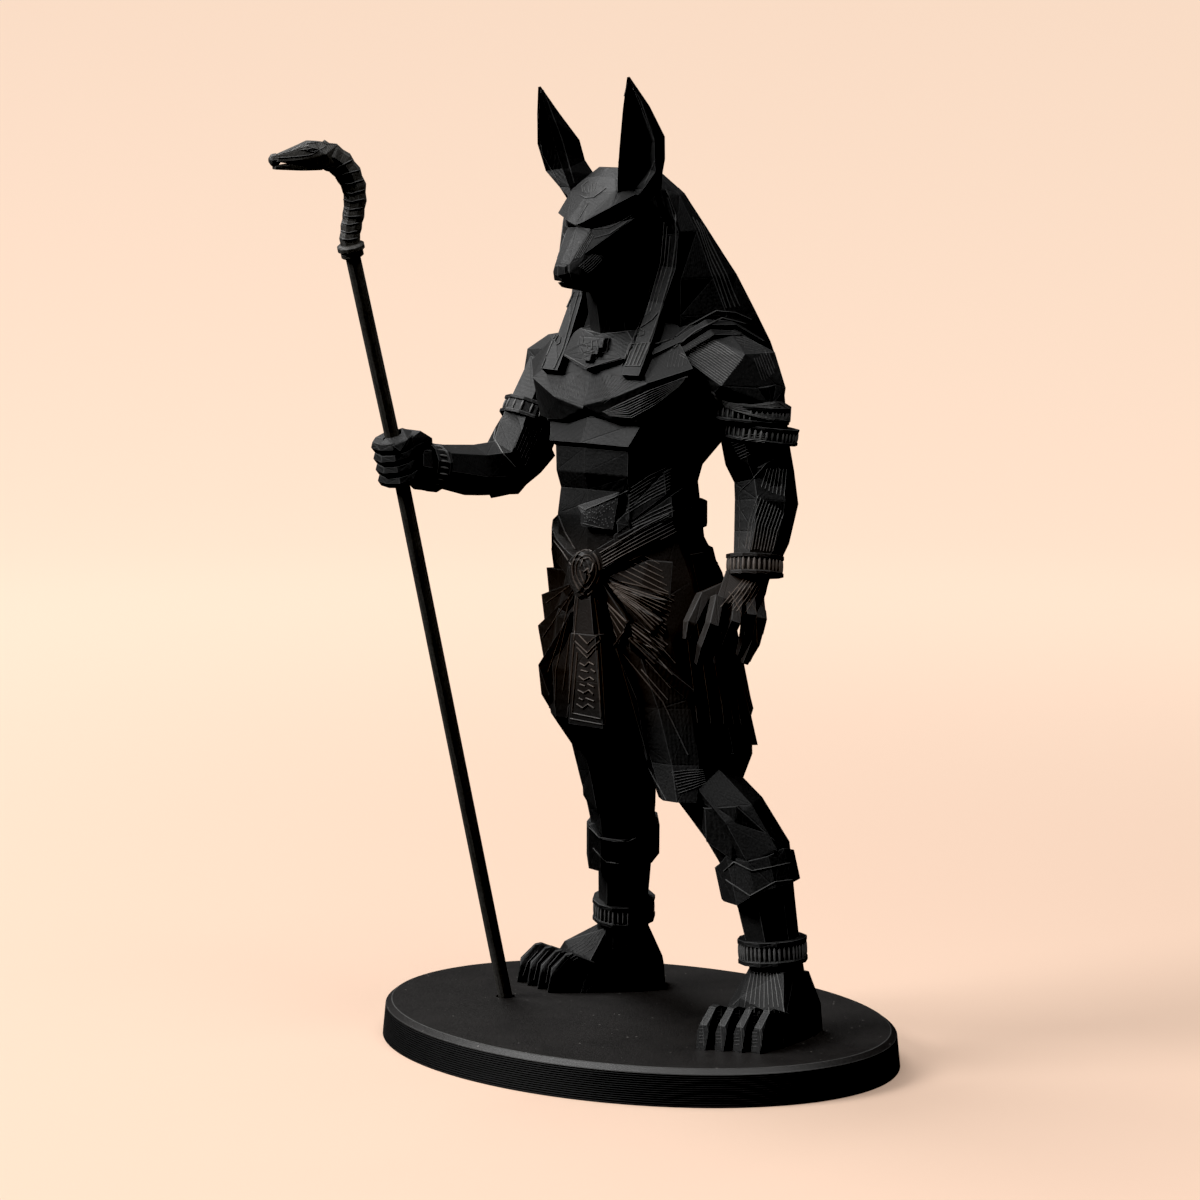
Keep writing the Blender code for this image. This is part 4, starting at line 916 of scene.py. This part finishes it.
# %% Dress the waist
SASH_TOP = [(600, 553), (620, 541), (645, 526), (669, 514)]
SASH_FOOT = [(605, 574), (625, 563), (645, 554), (679, 536)]
SASH_NEAR = ([(559, 516), (565, 532), (575, 549)], [(554, 541), (562, 551), (571, 565)])
WRAP_HIGH = ([(630, 487), (650, 474), (672, 463)], [(625, 516), (648, 502), (671, 490)])
WRAP_LOW = ([(630, 523), (650, 512), (672, 501)], [(634, 529), (652, 521), (676, 512)])
PLATE_TOP = [(577, 505), (585, 510), (606, 501), (628, 491)]
PLATE_SIDES = [[(628, 491), (614, 531)], [(581, 523), (614, 531)]]
show("waist_cloth",
     [lines("sash_hems", [SASH_TOP, SASH_FOOT], 0.3, 0.14),
      lines("sash", ragged(between(SASH_TOP, SASH_FOOT, 7), 20, 0.02, 0.15), **FINE),
      lines("near_hems", SASH_NEAR, 0.26, 0.12),
      lines("wrap_high", ragged(between(*WRAP_HIGH, 8), 22, 0.05), **FINE),
      lines("wrap_low", ragged(between(*WRAP_LOW, 3), 24), **FINE),
      lines("plate_rim", [PLATE_TOP], 0.3, 0.12),
      lines("plate_sides", PLATE_SIDES, 0.16, 0.06)])

# %% Build the stipple tree and stipple the plate
def build_studs():
    """A low dome on every guide point, turned to stand on the surface."""
    tree, given, made = new_tree("studs", {"Radius": ("Float", 0.1 * MM), "Height": ("Float", 0.5),
                                           "Material": ("Material", None)})
    facing = step(tree, "GeometryNodeInputNamedAttribute", {"Name": "facing"}, data_type="FLOAT_VECTOR")
    turn = step(tree, "FunctionNodeAlignRotationToVector", {"Vector": facing}, axis="Z")
    dome = step(tree, "GeometryNodeMeshIcoSphere", {"Radius": given.outputs["Radius"], "Subdivisions": 1})
    flat = step(tree, "ShaderNodeCombineXYZ", {"X": 1.0, "Y": 1.0, "Z": given.outputs["Height"]})
    spots = step(tree, "GeometryNodeInstanceOnPoints",
                 {"Points": given.outputs["Geometry"], "Instance": dome, "Rotation": turn, "Scale": flat})
    finish_tree(tree, spots, given, made)
    return tree


studs = build_studs()


def scatter(corners, pitch, seed, aim=spot):
    """Uneven points over a four cornered patch of the view, laid on the surface."""
    dice = random.Random(seed)
    a, b, c, d = (Vector(p) for p in corners)
    across = max(2, round((b - a).length / pitch))
    down = max(2, round((d - a).length / pitch))
    points = []
    for i in range(across):
        for j in range(down):
            s, t = (i + dice.random()) / across, (j + dice.random()) / down
            place, facing = aim(*a.lerp(b, s).lerp(d.lerp(c, s), t))
            if place is not None:
                points.append((place, facing))
    return points


def stipple(name, corners, pitch, radius, seed, height=0.5, material=None, aim=spot):
    """Domes over a patch; pitch is in view pixels and radius in millimetres."""
    points = scatter(corners, pitch, seed, aim)
    mesh = bpy.data.meshes.new(name)
    mesh.from_pydata([p[0] for p in points], [], [])
    set_facing(mesh, points)
    return grow(name, mesh, studs, Radius=radius * MM, Height=height, Material=material or relief_highlight)


PLATE_FIELD = [(583, 512), (626, 494), (613, 529), (584, 522)]
show("plate_stipple", [stipple("plate", PLATE_FIELD, 2.6, 0.13, 1)])

# %% [markdown]
# ## Medallion and apron
# The medallion that holds the sash is a drop shaped plate with a double rim. What its middle shows on the
# print can't be read, so it gets a plain generic relief. The apron hangs from it: a narrow strip that
# ends in chevrons, then a framed panel. Its signs are only bent strokes here, and no letters.

# %% Carve the medallion
MEDAL_MIDDLE = (586, 570)
MEDAL_HALF = (13.5, 20.0)
MEDAL_DROP = 26.0


def drop_outline(scale, count=28):
    """A closed drop: round above, drawn to a point below."""
    path = []
    for k in range(count + 1):
        a = 2 * math.pi * k / count
        down = MEDAL_DROP if math.sin(a) > 0 else MEDAL_HALF[1]
        wide = MEDAL_HALF[0] * (1 - 0.45 * max(0.0, math.sin(a)) ** 2)
        path.append((MEDAL_MIDDLE[0] + scale * wide * math.cos(a),
                     MEDAL_MIDDLE[1] + scale * down * math.sin(a)))
    return path


MEDAL_RELIEF = [[(581, 566), (583, 559), (589, 558), (593, 563), (592, 570), (588, 575)],
                [(584, 572), (588, 568), (590, 577), (587, 583)], [(580, 570), (582, 577), (585, 584)]]
show("medallion_relief",
     [lines("outer_rim", [drop_outline(1.0)], 0.34, 0.2, stride=1.5),
      lines("inner_rim", [drop_outline(0.74)], 0.22, 0.14, stride=1.5),
      lines("relief", MEDAL_RELIEF, 0.3, 0.16, stride=1.5)])

# %% Frame the apron
STRIP_SIDES = [[(578, 598), (574, 640)], [(594, 598), (600, 640)]]
CHEVRONS = [[(575, 641), (587.5, 653), (599, 641)], [(577, 647), (587.5, 658), (597, 647)],
            [(579, 635), (587.5, 644), (596, 636)]]
PANEL_FRAME = [[(574, 643), (567.5, 718), (605, 725), (600, 643)],
               [(577.5, 652), (572, 713), (601, 719), (597, 650)]]
SIGNS = [[(580, 663), (585, 666), (589, 662), (594, 665)], [(581, 670), (588, 672)],
         [(591, 669), (595, 672)], [(579, 676), (584, 680), (590, 677), (594, 680)],
         [(580, 684), (585, 686)], [(588, 684), (594, 687)],
         [(578, 690), (584, 693), (589, 690), (593, 694)], [(579, 698), (583, 700)],
         [(586, 698), (594, 701)], [(577, 704), (583, 708), (588, 704), (594, 708)]]
show("apron_relief",
     [lines("strip", STRIP_SIDES, 0.22, 0.1),
      lines("chevrons", CHEVRONS, 0.24, 0.14),
      lines("frame", PANEL_FRAME, 0.24, 0.12),
      lines("signs", SIGNS, 0.26, 0.16, stride=1.5)])

# %% [markdown]
# ## Pleats of the kilt
# The pleats spread from under the medallion. Each one is a long quarter of cloth with its own run of
# lines, so a pleat is described by its first and last line, and the rest is spaced between them.

# %% Line the pleats
PLEATS = {
    "hip_high": ([(644, 556), (660, 564)], [(618, 573), (672, 600)], 6),
    "long_high": ([(606, 581), (635, 590), (672, 602)], [(613, 592), (636, 610), (664, 640)], 9),
    "middle": ([(600, 596), (629, 624)], [(600, 600), (614, 644)], 5),
    "tongue": ([(633, 621), (668, 645)], [(626, 636), (654, 663)], 7),
    "low": ([(655, 640), (676, 664)], [(640, 668), (668, 700)], 4),
}
PLEAT_HEMS = [[(604, 578), (640, 586), (674, 596)], [(613, 593), (640, 616), (664, 642)],
              [(600, 597), (629, 625), (614, 645)], [(597, 600), (613, 644)], [(625, 635), (652, 648)],
              [(625, 635), (655, 664)], [(618, 573), (674, 601)],
              [(616, 648), (647, 755), (649, 769), (666, 800)], [(663, 702), (688, 755)],
              [(620, 650), (663, 702)]]
NEAR_HEMS = [[(572, 584), (546, 603)], [(573, 592), (543, 637)], [(570, 600), (559, 640), (548, 672)],
             [(567, 622), (556, 670), (555, 708)], [(576, 596), (569, 640), (563, 690)]]
HEM_PATCH = ([(671, 771), (687, 769), (703, 769)], [(679, 795), (693, 790), (706, 784)])
pleat_lines = [lines(name, ragged(between(first, last, count, edges=True), 30 + count, 0.05), **FINE)
               for name, (first, last, count) in PLEATS.items()]
show("kilt_lines",
     pleat_lines + [lines("pleat_hems", PLEAT_HEMS, 0.24, 0.1), lines("near_hems", NEAR_HEMS, 0.2, 0.07),
                    lines("hem_patch", between(*HEM_PATCH, 8), 0.17, 0.08)])

# %% [markdown]
# ## Ribs round the bracelets
# Armlets, cuffs and anklets carry upright ribs all the way round. A tree lays one rib on every step of a
# twelve sided ring, the shape that the solid bands have, so the ribs stand on the flats from every side.

# %% Build the rib ring tree
BAND_SIDES = 12


def build_rib_ring():
    """Upright ribs spaced evenly along an oval ring with flat sides."""
    tree, given, made = new_tree("rib_ring", {"Count": ("Int", 24), "Half Wide": ("Float", 5 * MM),
                                              "Half Deep": ("Float", 5 * MM), "Tall": ("Float", 1.2 * MM),
                                              "Thick": ("Float", 0.2 * MM), "Material": ("Material", None)})
    ring = step(tree, "GeometryNodeCurvePrimitiveCircle", {"Resolution": BAND_SIDES, "Radius": 1.0})
    ring = step(tree, "GeometryNodeTransform",
                {"Geometry": ring, "Rotation": (0.0, 0.0, math.pi / BAND_SIDES)})
    oval = step(tree, "ShaderNodeCombineXYZ",
                {"X": given.outputs["Half Wide"], "Y": given.outputs["Half Deep"], "Z": 1.0})
    ring = step(tree, "GeometryNodeTransform", {"Geometry": ring, "Scale": oval})
    ring = step(tree, "GeometryNodeResampleCurve", {"Curve": ring, "Count": given.outputs["Count"]})
    half = step(tree, "ShaderNodeMath", {0: given.outputs["Tall"], 1: 0.5}, operation="MULTIPLY")
    down = step(tree, "ShaderNodeMath", {0: half, 1: -1.0}, operation="MULTIPLY")
    line = step(tree, "GeometryNodeCurvePrimitiveLine",
                {"Start": step(tree, "ShaderNodeCombineXYZ", {"Z": down}),
                 "End": step(tree, "ShaderNodeCombineXYZ", {"Z": half})})
    line = step(tree, "GeometryNodeResampleCurve", {"Curve": line, "Count": 5})
    along = step(tree, "GeometryNodeSplineParameter", {})
    bulge = step(tree, "ShaderNodeMath", {0: along, 1: math.pi}, operation="MULTIPLY")
    bulge = step(tree, "ShaderNodeMath", {0: bulge}, operation="SINE")
    bulge = step(tree, "ShaderNodeMath", {0: bulge, 1: 0.3}, operation="POWER")
    bulge = step(tree, "ShaderNodeMath", {0: bulge, 1: 0.5}, operation="MAXIMUM")
    girth = step(tree, "ShaderNodeMath", {0: bulge, 1: given.outputs["Thick"]}, operation="MULTIPLY")
    section = step(tree, "GeometryNodeCurvePrimitiveCircle", {"Resolution": 6, "Radius": 1.0})
    rib = step(tree, "GeometryNodeCurveToMesh",
               {"Curve": line, "Profile Curve": section, "Scale": girth, "Fill Caps": True})
    turn = step(tree, "FunctionNodeAlignRotationToVector",
                {"Vector": step(tree, "GeometryNodeInputTangent", {})}, axis="X")
    ribs = step(tree, "GeometryNodeInstanceOnPoints", {"Points": ring, "Instance": rib, "Rotation": turn})
    finish_tree(tree, ribs, given, made)
    return tree


rib_ring = build_rib_ring()

# %% Set the ribs on every band
# centre, direction of the limb, front, half width and half depth at the ribs, rib length, number of ribs
BANDS = {
    "armlet_left": ((18.2, 3.9, 100.5), (0.05, 0.1, 1), (0, -1, 0), 6.05, 6.45, 1.7, 44),
    "armlet_left_low": ((19.6, 4.7, 97.5), (0.08, 0.12, 1), (0, -1, 0), 5.95, 5.95, 1.7, 42),
    "armlet_right": ((-17.0, -4.6, 98.4), (-0.1, -0.5, -1), (0, -1, 0.4), 4.95, 5.25, 1.5, 20),
    "cuff_left": ((21.0, 2.1, 77.5), (0.12, -0.2, -1), (0, -1, 0), 3.95, 4.55, 2.1, 32),
    "cuff_right": ((-19.5, -26.6, 92.2), (0, -1, 0.2), (0, -0.2, -1), 3.35, 3.55, 1.8, 22),
    "anklet_left": ((24.1, 3.0, 18.5), (-0.06, 0, 1), (0, -1, 0), 5.15, 5.15, 2.6, 42),
    "anklet_right": ((-12.0, 11.4, 18.8), (0.12, -0.15, 1), (-0.5, -1, 0), 4.65, 4.85, 2.4, 38),
}
RIB_THICK = 0.24


def band_frame(centre, along, front):
    """The place and turn of a band: x and y lie across the limb and z runs along it."""
    up = Vector(along).normalized()
    ahead = Vector(front)
    ahead = (ahead - up * ahead.dot(up)).normalized()
    side = up.cross(ahead).normalized()
    return Matrix.Translation(Vector(centre) * MM) @ Matrix((side, ahead, up)).transposed().to_4x4()


one_point = bpy.data.meshes.new("one_point")
one_point.from_pydata([(0, 0, 0)], [], [])
ribs = []
for name, (centre, along, front, wide, deep, tall, count) in BANDS.items():
    ribs.append(grow(name, one_point, rib_ring, band_frame(centre, along, front), Count=count,
                     Half_Wide=wide * MM, Half_Deep=deep * MM, Tall=tall * MM, Thick=RIB_THICK * MM,
                     Material=ridge_highlight))
show("bracelet_ribs", ribs)

# %% Lay the plate over the upper armlet
PLATE_UPPER = [(712, 391), (722, 400), (734, 403), (752, 405), (768, 403), (778, 400), (790, 408)]
PLATE_LOWER = [(716, 400), (724, 406), (735, 411), (752, 416), (768, 420), (778, 421), (789, 423)]
armlet_plate = slab("armlet_plate", PLATE_UPPER, PLATE_LOWER)
plate_hatch = lines("plate_hatch", ragged(between(PLATE_UPPER, PLATE_LOWER, 5), 50, 0.03),
                    aim=plate_spot("armlet_plate"), **FINE)
plate_hems = lines("plate_hems", [PLATE_UPPER[1:-1], PLATE_LOWER[1:-1]], 0.22, 0.1,
                   aim=plate_spot("armlet_plate"))
show("armlet_plate", [armlet_plate, plate_hatch, plate_hems])

# %% [markdown]
# ## Face, ears and brow
# The mask of the face is all facets, and a few strokes bring it to life: a rising sun sign on the brow, a
# rim under each eye, stripes down the muzzle and a ridge line in each ear. The far side of the face can't
# be seen in the view, so the near eye rim, muzzle stripes and whiskers are mirrored past the head's middle
# plane and laid on the surface there.

# %% Draw the face
BROW_SIGN = [[(580, 195), (586, 198), (594, 197), (601, 192), (606, 188)],
             [(583, 192), (582, 186), (588, 181)]]
BROW_RAYS = [[(586, 193), (584, 187)], [(589, 193), (588, 185)], [(592, 192), (592, 184)],
             [(595, 190), (596, 183)]]
BROW_RIDGE = [[(588, 203), (583, 212), (578, 220)]]
EYE_RIMS = [[(592, 229), (608, 228), (622, 221), (633, 214)],
            [(594, 238), (609, 234), (624, 224), (634, 215)]]
MUZZLE_STRIPES = ([(590, 231), (582, 244), (574, 259)], [(594, 236), (588, 247), (581, 258)])
WHISKERS = ([(578, 266), (586, 259), (594, 252)], [(588, 274), (596, 268), (603, 260)])
EAR_RIMS = [[(628, 80), (641, 102), (655, 143), (656, 159), (645, 184)],
            [(628, 82), (618, 122), (617, 150), (621, 176)],
            [(541, 90), (538, 125), (543, 155), (560, 184)], [(543, 90), (562, 140), (574, 183)]]
EAR_LINES = ([(647, 130), (649, 160), (640, 182)], [(641, 125), (642, 158), (634, 182)])
show("face_lines",
     [lines("brow_sign", BROW_SIGN, 0.22, 0.1, stride=1.5),
      lines("brow_rays", BROW_RAYS, 0.18, 0.08, stride=1.5),
      lines("brow_ridge", BROW_RIDGE, 0.2, 0.08),
      lines("eye_rims", EYE_RIMS, 0.2, 0.08, stride=2),
      lines("muzzle_stripes", between(*MUZZLE_STRIPES, 4), 0.15, 0.06, stride=2),
      lines("whiskers", between(*WHISKERS, 6), 0.13, 0.05, stride=2),
      lines("ear_rims", EAR_RIMS, 0.22, 0.08),
      lines("ear_lines", between(*EAR_LINES, 3), 0.12, 0.05),
      lines("far_eye_rims", EYE_RIMS, 0.2, 0.08, aim=mirrored(), stride=2),
      lines("far_muzzle_stripes", between(*MUZZLE_STRIPES, 4), 0.15, 0.06, aim=mirrored(), stride=2),
      lines("far_whiskers", between(*WHISKERS, 6), 0.13, 0.05, aim=mirrored(), stride=2)])

# %% [markdown]
# ## Greaves and feet
# The greaves have a zigzag upper rim and a bowed lower one. Each foot shows a fan of lines on the instep
# and a ridge on every toe.

# %% Draw the greaves and the feet
GREAVE_RIMS = [[(724, 871), (734, 862), (752, 871), (772, 867), (790, 863)],
               [(726, 880), (750, 896), (775, 882), (792, 880)],
               [(588, 826), (600, 838), (628, 842), (655, 828)],
               [(593, 848), (606, 862), (634, 866), (656, 850)]]
INSTEP = ([(750, 972), (745, 992), (741, 1014)], [(778, 972), (783, 992), (787, 1014)])
NEAR_INSTEP = ([(596, 926), (580, 940), (560, 952)], [(604, 930), (596, 948), (574, 962)])
TOE_RIDGES = [[(704, 1008), (703, 1024), (704, 1046)], [(721, 1008), (721, 1026), (722, 1048)],
              [(739, 1010), (741, 1028), (743, 1049)], [(757, 1012), (760, 1030), (762, 1050)],
              [(538, 951), (528, 962), (523, 976)], [(548, 951), (538, 963), (534, 980)],
              [(560, 953), (549, 966), (546, 983)]]
TOE_EDGES = [(700, 1010), (717, 1010), (735, 1012), (753, 1014)]
TOE_TALL = 34
TOE_TICKS = 10
ticks = []
for u, v in TOE_EDGES:
    ticks += between([(u, v), (u + 4.5, v)], [(u - 1, v + TOE_TALL), (u + 4.5, v + TOE_TALL)], TOE_TICKS)
show("leg_lines",
     [lines("greave_rims", GREAVE_RIMS, 0.3, 0.12),
      lines("instep", ragged(between(*INSTEP, 9), 40), **FINE),
      lines("near_instep", ragged(between(*NEAR_INSTEP, 5), 41), 0.13, 0.05),
      lines("toe_ticks", ticks, **FAINT),
      lines("toe_ridges", TOE_RIDGES, 0.2, 0.08)])

# %% [markdown]
# ## What the view hides
# The back isn't in the view, so it is finished in keeping and kept plain: folds down the headcloth,
# pleats and hems round the kilt and belt, the spine and the shoulder blades. These guides are drawn in
# level views from behind and from both sides, in real millimetres.

# %% Finish the back and the sides
HOOD_TOP = [(-5.0, 134.0), (-9.0, 122.0), (-12.0, 111.0)]
HOOD_SIDE = [(5.0, 134.0), (9.0, 122.0), (12.0, 111.0)]
BACK_PLEATS = ([(-9.0, 75.0), (-11.5, 50.0)], [(9.5, 75.0), (14.0, 46.0)])
SIDE_PLEATS = ([(-6.0, 75.0), (-6.5, 54.0)], [(6.0, 75.0), (7.5, 52.0)])
BELT_HEMS = ([(-12.0, 79.2), (12.0, 79.2)], [(-12.0, 76.4), (12.0, 76.4)])
SPINE = [(0.3, 103.0), (0.3, 82.0)]
BLADES = [[(-3.0, 104.0), (-8.0, 97.0), (-6.0, 90.0)], [(3.6, 104.0), (8.6, 97.0), (6.6, 90.0)]]
BEHIND, LEFT_SIDE, RIGHT_SIDE = level_aim(180), level_aim(90), level_aim(-90)
hidden = [lines("hood_folds", between(HOOD_TOP, HOOD_SIDE, 9, edges=True), 0.3, 0.1, aim=BEHIND,
                stride=LEVEL_STEP),
          lines("hood_left", between([(2.0, 130.0), (4.0, 116.0)], [(7.0, 128.0), (10.0, 116.0)], 4), 0.3,
                0.1, aim=LEFT_SIDE, stride=LEVEL_STEP),
          lines("hood_right", between([(-2.0, 130.0), (-4.0, 116.0)], [(-7.0, 128.0), (-10.0, 116.0)], 4),
                0.3, 0.1, aim=RIGHT_SIDE, stride=LEVEL_STEP),
          lines("back_pleats", between(*BACK_PLEATS, 12), 0.22, 0.08, aim=BEHIND, stride=LEVEL_STEP),
          lines("left_pleats", between(*SIDE_PLEATS, 7), 0.22, 0.08, aim=LEFT_SIDE, stride=LEVEL_STEP),
          lines("right_pleats", between(*SIDE_PLEATS, 7), 0.22, 0.08, aim=RIGHT_SIDE, stride=LEVEL_STEP),
          lines("belt_hems", BELT_HEMS, 0.26, 0.12, aim=BEHIND, stride=LEVEL_STEP),
          lines("back_form", [SPINE] + BLADES, 0.24, 0.08, aim=BEHIND, stride=LEVEL_STEP)]
show("hidden_side_lines", hidden)

# %% [markdown]
# ## The cobra head
# The staff ends in a cobra that bends forward. Belly plates climb the inside of its neck, a slit marks the
# eye, a line the mouth and a ridge the snout.

# %% Scale the cobra


def staff_spot(u, v):
    return spot(u, v, "staff")


NECK_PLATES = [[(342, 239), (349, 240), (357, 238)], [(341, 231), (348, 233), (357, 231)],
               [(342, 223), (349, 225), (358, 223)], [(342, 215), (350, 217), (360, 216)],
               [(342, 207), (350, 210), (362, 208)], [(342, 199), (351, 202), (364, 199)],
               [(341, 191), (351, 194), (364, 190)], [(339, 184), (350, 184), (363, 180)],
               [(336, 178), (345, 174), (360, 170)], [(332, 173), (339, 167), (352, 160)]]
MOUTH = [(278, 158), (294, 157), (311, 155), (326, 146)]
EYE_SLIT = [(307, 150), (313, 148), (319, 150), (313, 152), (307, 150)]
SNOUT_RIDGE = [(276, 155), (290, 150), (303, 144), (318, 142)]
show("cobra_lines",
     [lines("neck_plates", NECK_PLATES, 0.3, 0.13, aim=staff_spot, stride=2),
      lines("mouth", [MOUTH], 0.22, 0.1, aim=staff_spot, stride=2),
      lines("eye", [EYE_SLIT], 0.18, 0.12, aim=staff_spot, stride=1.5),
      lines("snout_ridge", [SNOUT_RIDGE], 0.2, 0.08, aim=staff_spot, stride=2)])

# %% [markdown]
# ## A pale studio
# The set is a wide round sweep of pale peach paper: flat under the statuette, then curving up into a wall
# on every side, so that each view has the same plain ground. A large soft light stands on the left, a
# second one behind it, a third overhead and a weak fourth high in front. The paper glows a little by
# itself, which keeps the shadow soft, and more so far out, where it takes less of the lamps' light, so
# that no side looks brighter. The black plastic mirrors nothing of it.

# %% Roll out the paper sweep
SWEEP_FLAT = 0.62
SWEEP_WALL = 1.42
SWEEP_TOP = 1.60
SWEEP_SIDES = 96
PAPER_NEAR = (0.67, 0.488, 0.378)
PAPER_FAR = (0.34, 0.26, 0.20)
GLOW_NEAR = (0.16, 0.112, 0.084)
GLOW_FAR = (0.77, 0.58, 0.455)
GLOW_REACH = (0.10, 0.55)


def build_sweep():
    """A flat disc that turns up through a quarter round into a wall."""
    bend = SWEEP_WALL - SWEEP_FLAT
    outline = [(0.0, 0.0), (SWEEP_FLAT / 2, 0.0)]
    for k in range(17):
        turn = math.pi / 2 * k / 16
        outline.append((SWEEP_FLAT + bend * math.sin(turn), bend * (1 - math.cos(turn))))
    outline.append((SWEEP_WALL, SWEEP_TOP))
    bm = bmesh.new()
    spine = [bm.verts.new((r, 0, z)) for r, z in outline]
    edges = [bm.edges.new(pair) for pair in zip(spine, spine[1:])]
    bmesh.ops.spin(bm, geom=spine + edges, cent=(0, 0, 0), axis=(0, 0, 1), angle=2 * math.pi,
                   steps=SWEEP_SIDES, use_merge=True)
    bmesh.ops.remove_doubles(bm, verts=bm.verts, dist=MM)
    bmesh.ops.recalc_face_normals(bm, faces=bm.faces)
    for face in bm.faces:
        face.smooth = True
    mesh = bpy.data.meshes.new("paper_sweep")
    bm.to_mesh(mesh)
    bm.free()
    return mesh


paper = bpy.data.materials.new("paper")
paper.use_nodes = True
paper_shader = paper.node_tree.nodes["Principled BSDF"]
paper_shader.inputs["Roughness"].default_value = 0.95
paper_shader.inputs["Specular IOR Level"].default_value = 0.05
away = paper.node_tree.nodes.new("ShaderNodeVectorMath")
away.operation = "LENGTH"
paper.node_tree.links.new(object_place(paper.node_tree), away.inputs[0])
glow = paper.node_tree.nodes.new("ShaderNodeMapRange")
glow.interpolation_type = "SMOOTHSTEP"
glow.inputs["From Min"].default_value, glow.inputs["From Max"].default_value = GLOW_REACH
paper.node_tree.links.new(away.outputs["Value"], glow.inputs["Value"])
for near, far, socket in ((PAPER_NEAR, PAPER_FAR, "Base Color"), (GLOW_NEAR, GLOW_FAR, "Emission Color")):
    paper.node_tree.links.new(mix_colour(paper.node_tree, glow.outputs["Result"], near, far),
                              paper_shader.inputs[socket])
paper_shader.inputs["Emission Strength"].default_value = 1.0
sweep = bpy.data.objects.new("paper_sweep", build_sweep())
sweep.data.materials.append(paper)
bpy.context.scene.collection.objects.link(sweep)
sweep.visible_glossy = False
sweep.visible_diffuse = False

# %% Hang the lights
world = bpy.data.worlds.new("pale_sky")
world.use_nodes = True
world.node_tree.nodes["Background"].inputs["Color"].default_value = (0.95, 0.80, 0.66, 1.0)
world.cycles_visibility.diffuse = False
world.cycles_visibility.glossy = False
bpy.context.scene.world = world

AIM = Vector((0.0, 0.0, 0.085))
BLACK_POINT = 0.006


def soft_light(name, turn, height, away, size, watts, colour=(1.0, 1.0, 1.0)):
    """A square soft light facing the figure; turn is degrees right of the camera, height is above level."""
    data = bpy.data.lights.new(name, "AREA")
    data.size = size
    data.energy = watts
    data.color = colour
    lamp = bpy.data.objects.new(name, data)
    side, rise = math.radians(turn), math.radians(height)
    level = Vector((-view_ahead.x, -view_ahead.y, 0.0)).normalized()
    sideways = (view_right * math.sin(side) + level * math.cos(side)) * math.cos(rise)
    direction = sideways + Vector((0, 0, math.sin(rise)))
    lamp.location = AIM + direction * away
    lamp.rotation_euler = direction.to_track_quat("Z", "Y").to_euler()
    bpy.context.scene.collection.objects.link(lamp)
    return lamp


soft_light("key", turn=-75, height=38, away=1.0, size=0.45, watts=8.4)
soft_light("back_left", turn=-130, height=62, away=1.0, size=0.45, watts=6.2)
soft_light("overhead", turn=0, height=88, away=1.0, size=0.6, watts=2.3)
soft_light("front_fill", turn=36, height=60, away=1.0, size=0.5, watts=2.9)
look = bpy.context.scene.view_settings
look.view_transform = "Standard"
look.use_curve_mapping = True
look.curve_mapping.black_level = (BLACK_POINT,) * 3
look.curve_mapping.update()
print("the sweep, sky and four soft lights are in place")
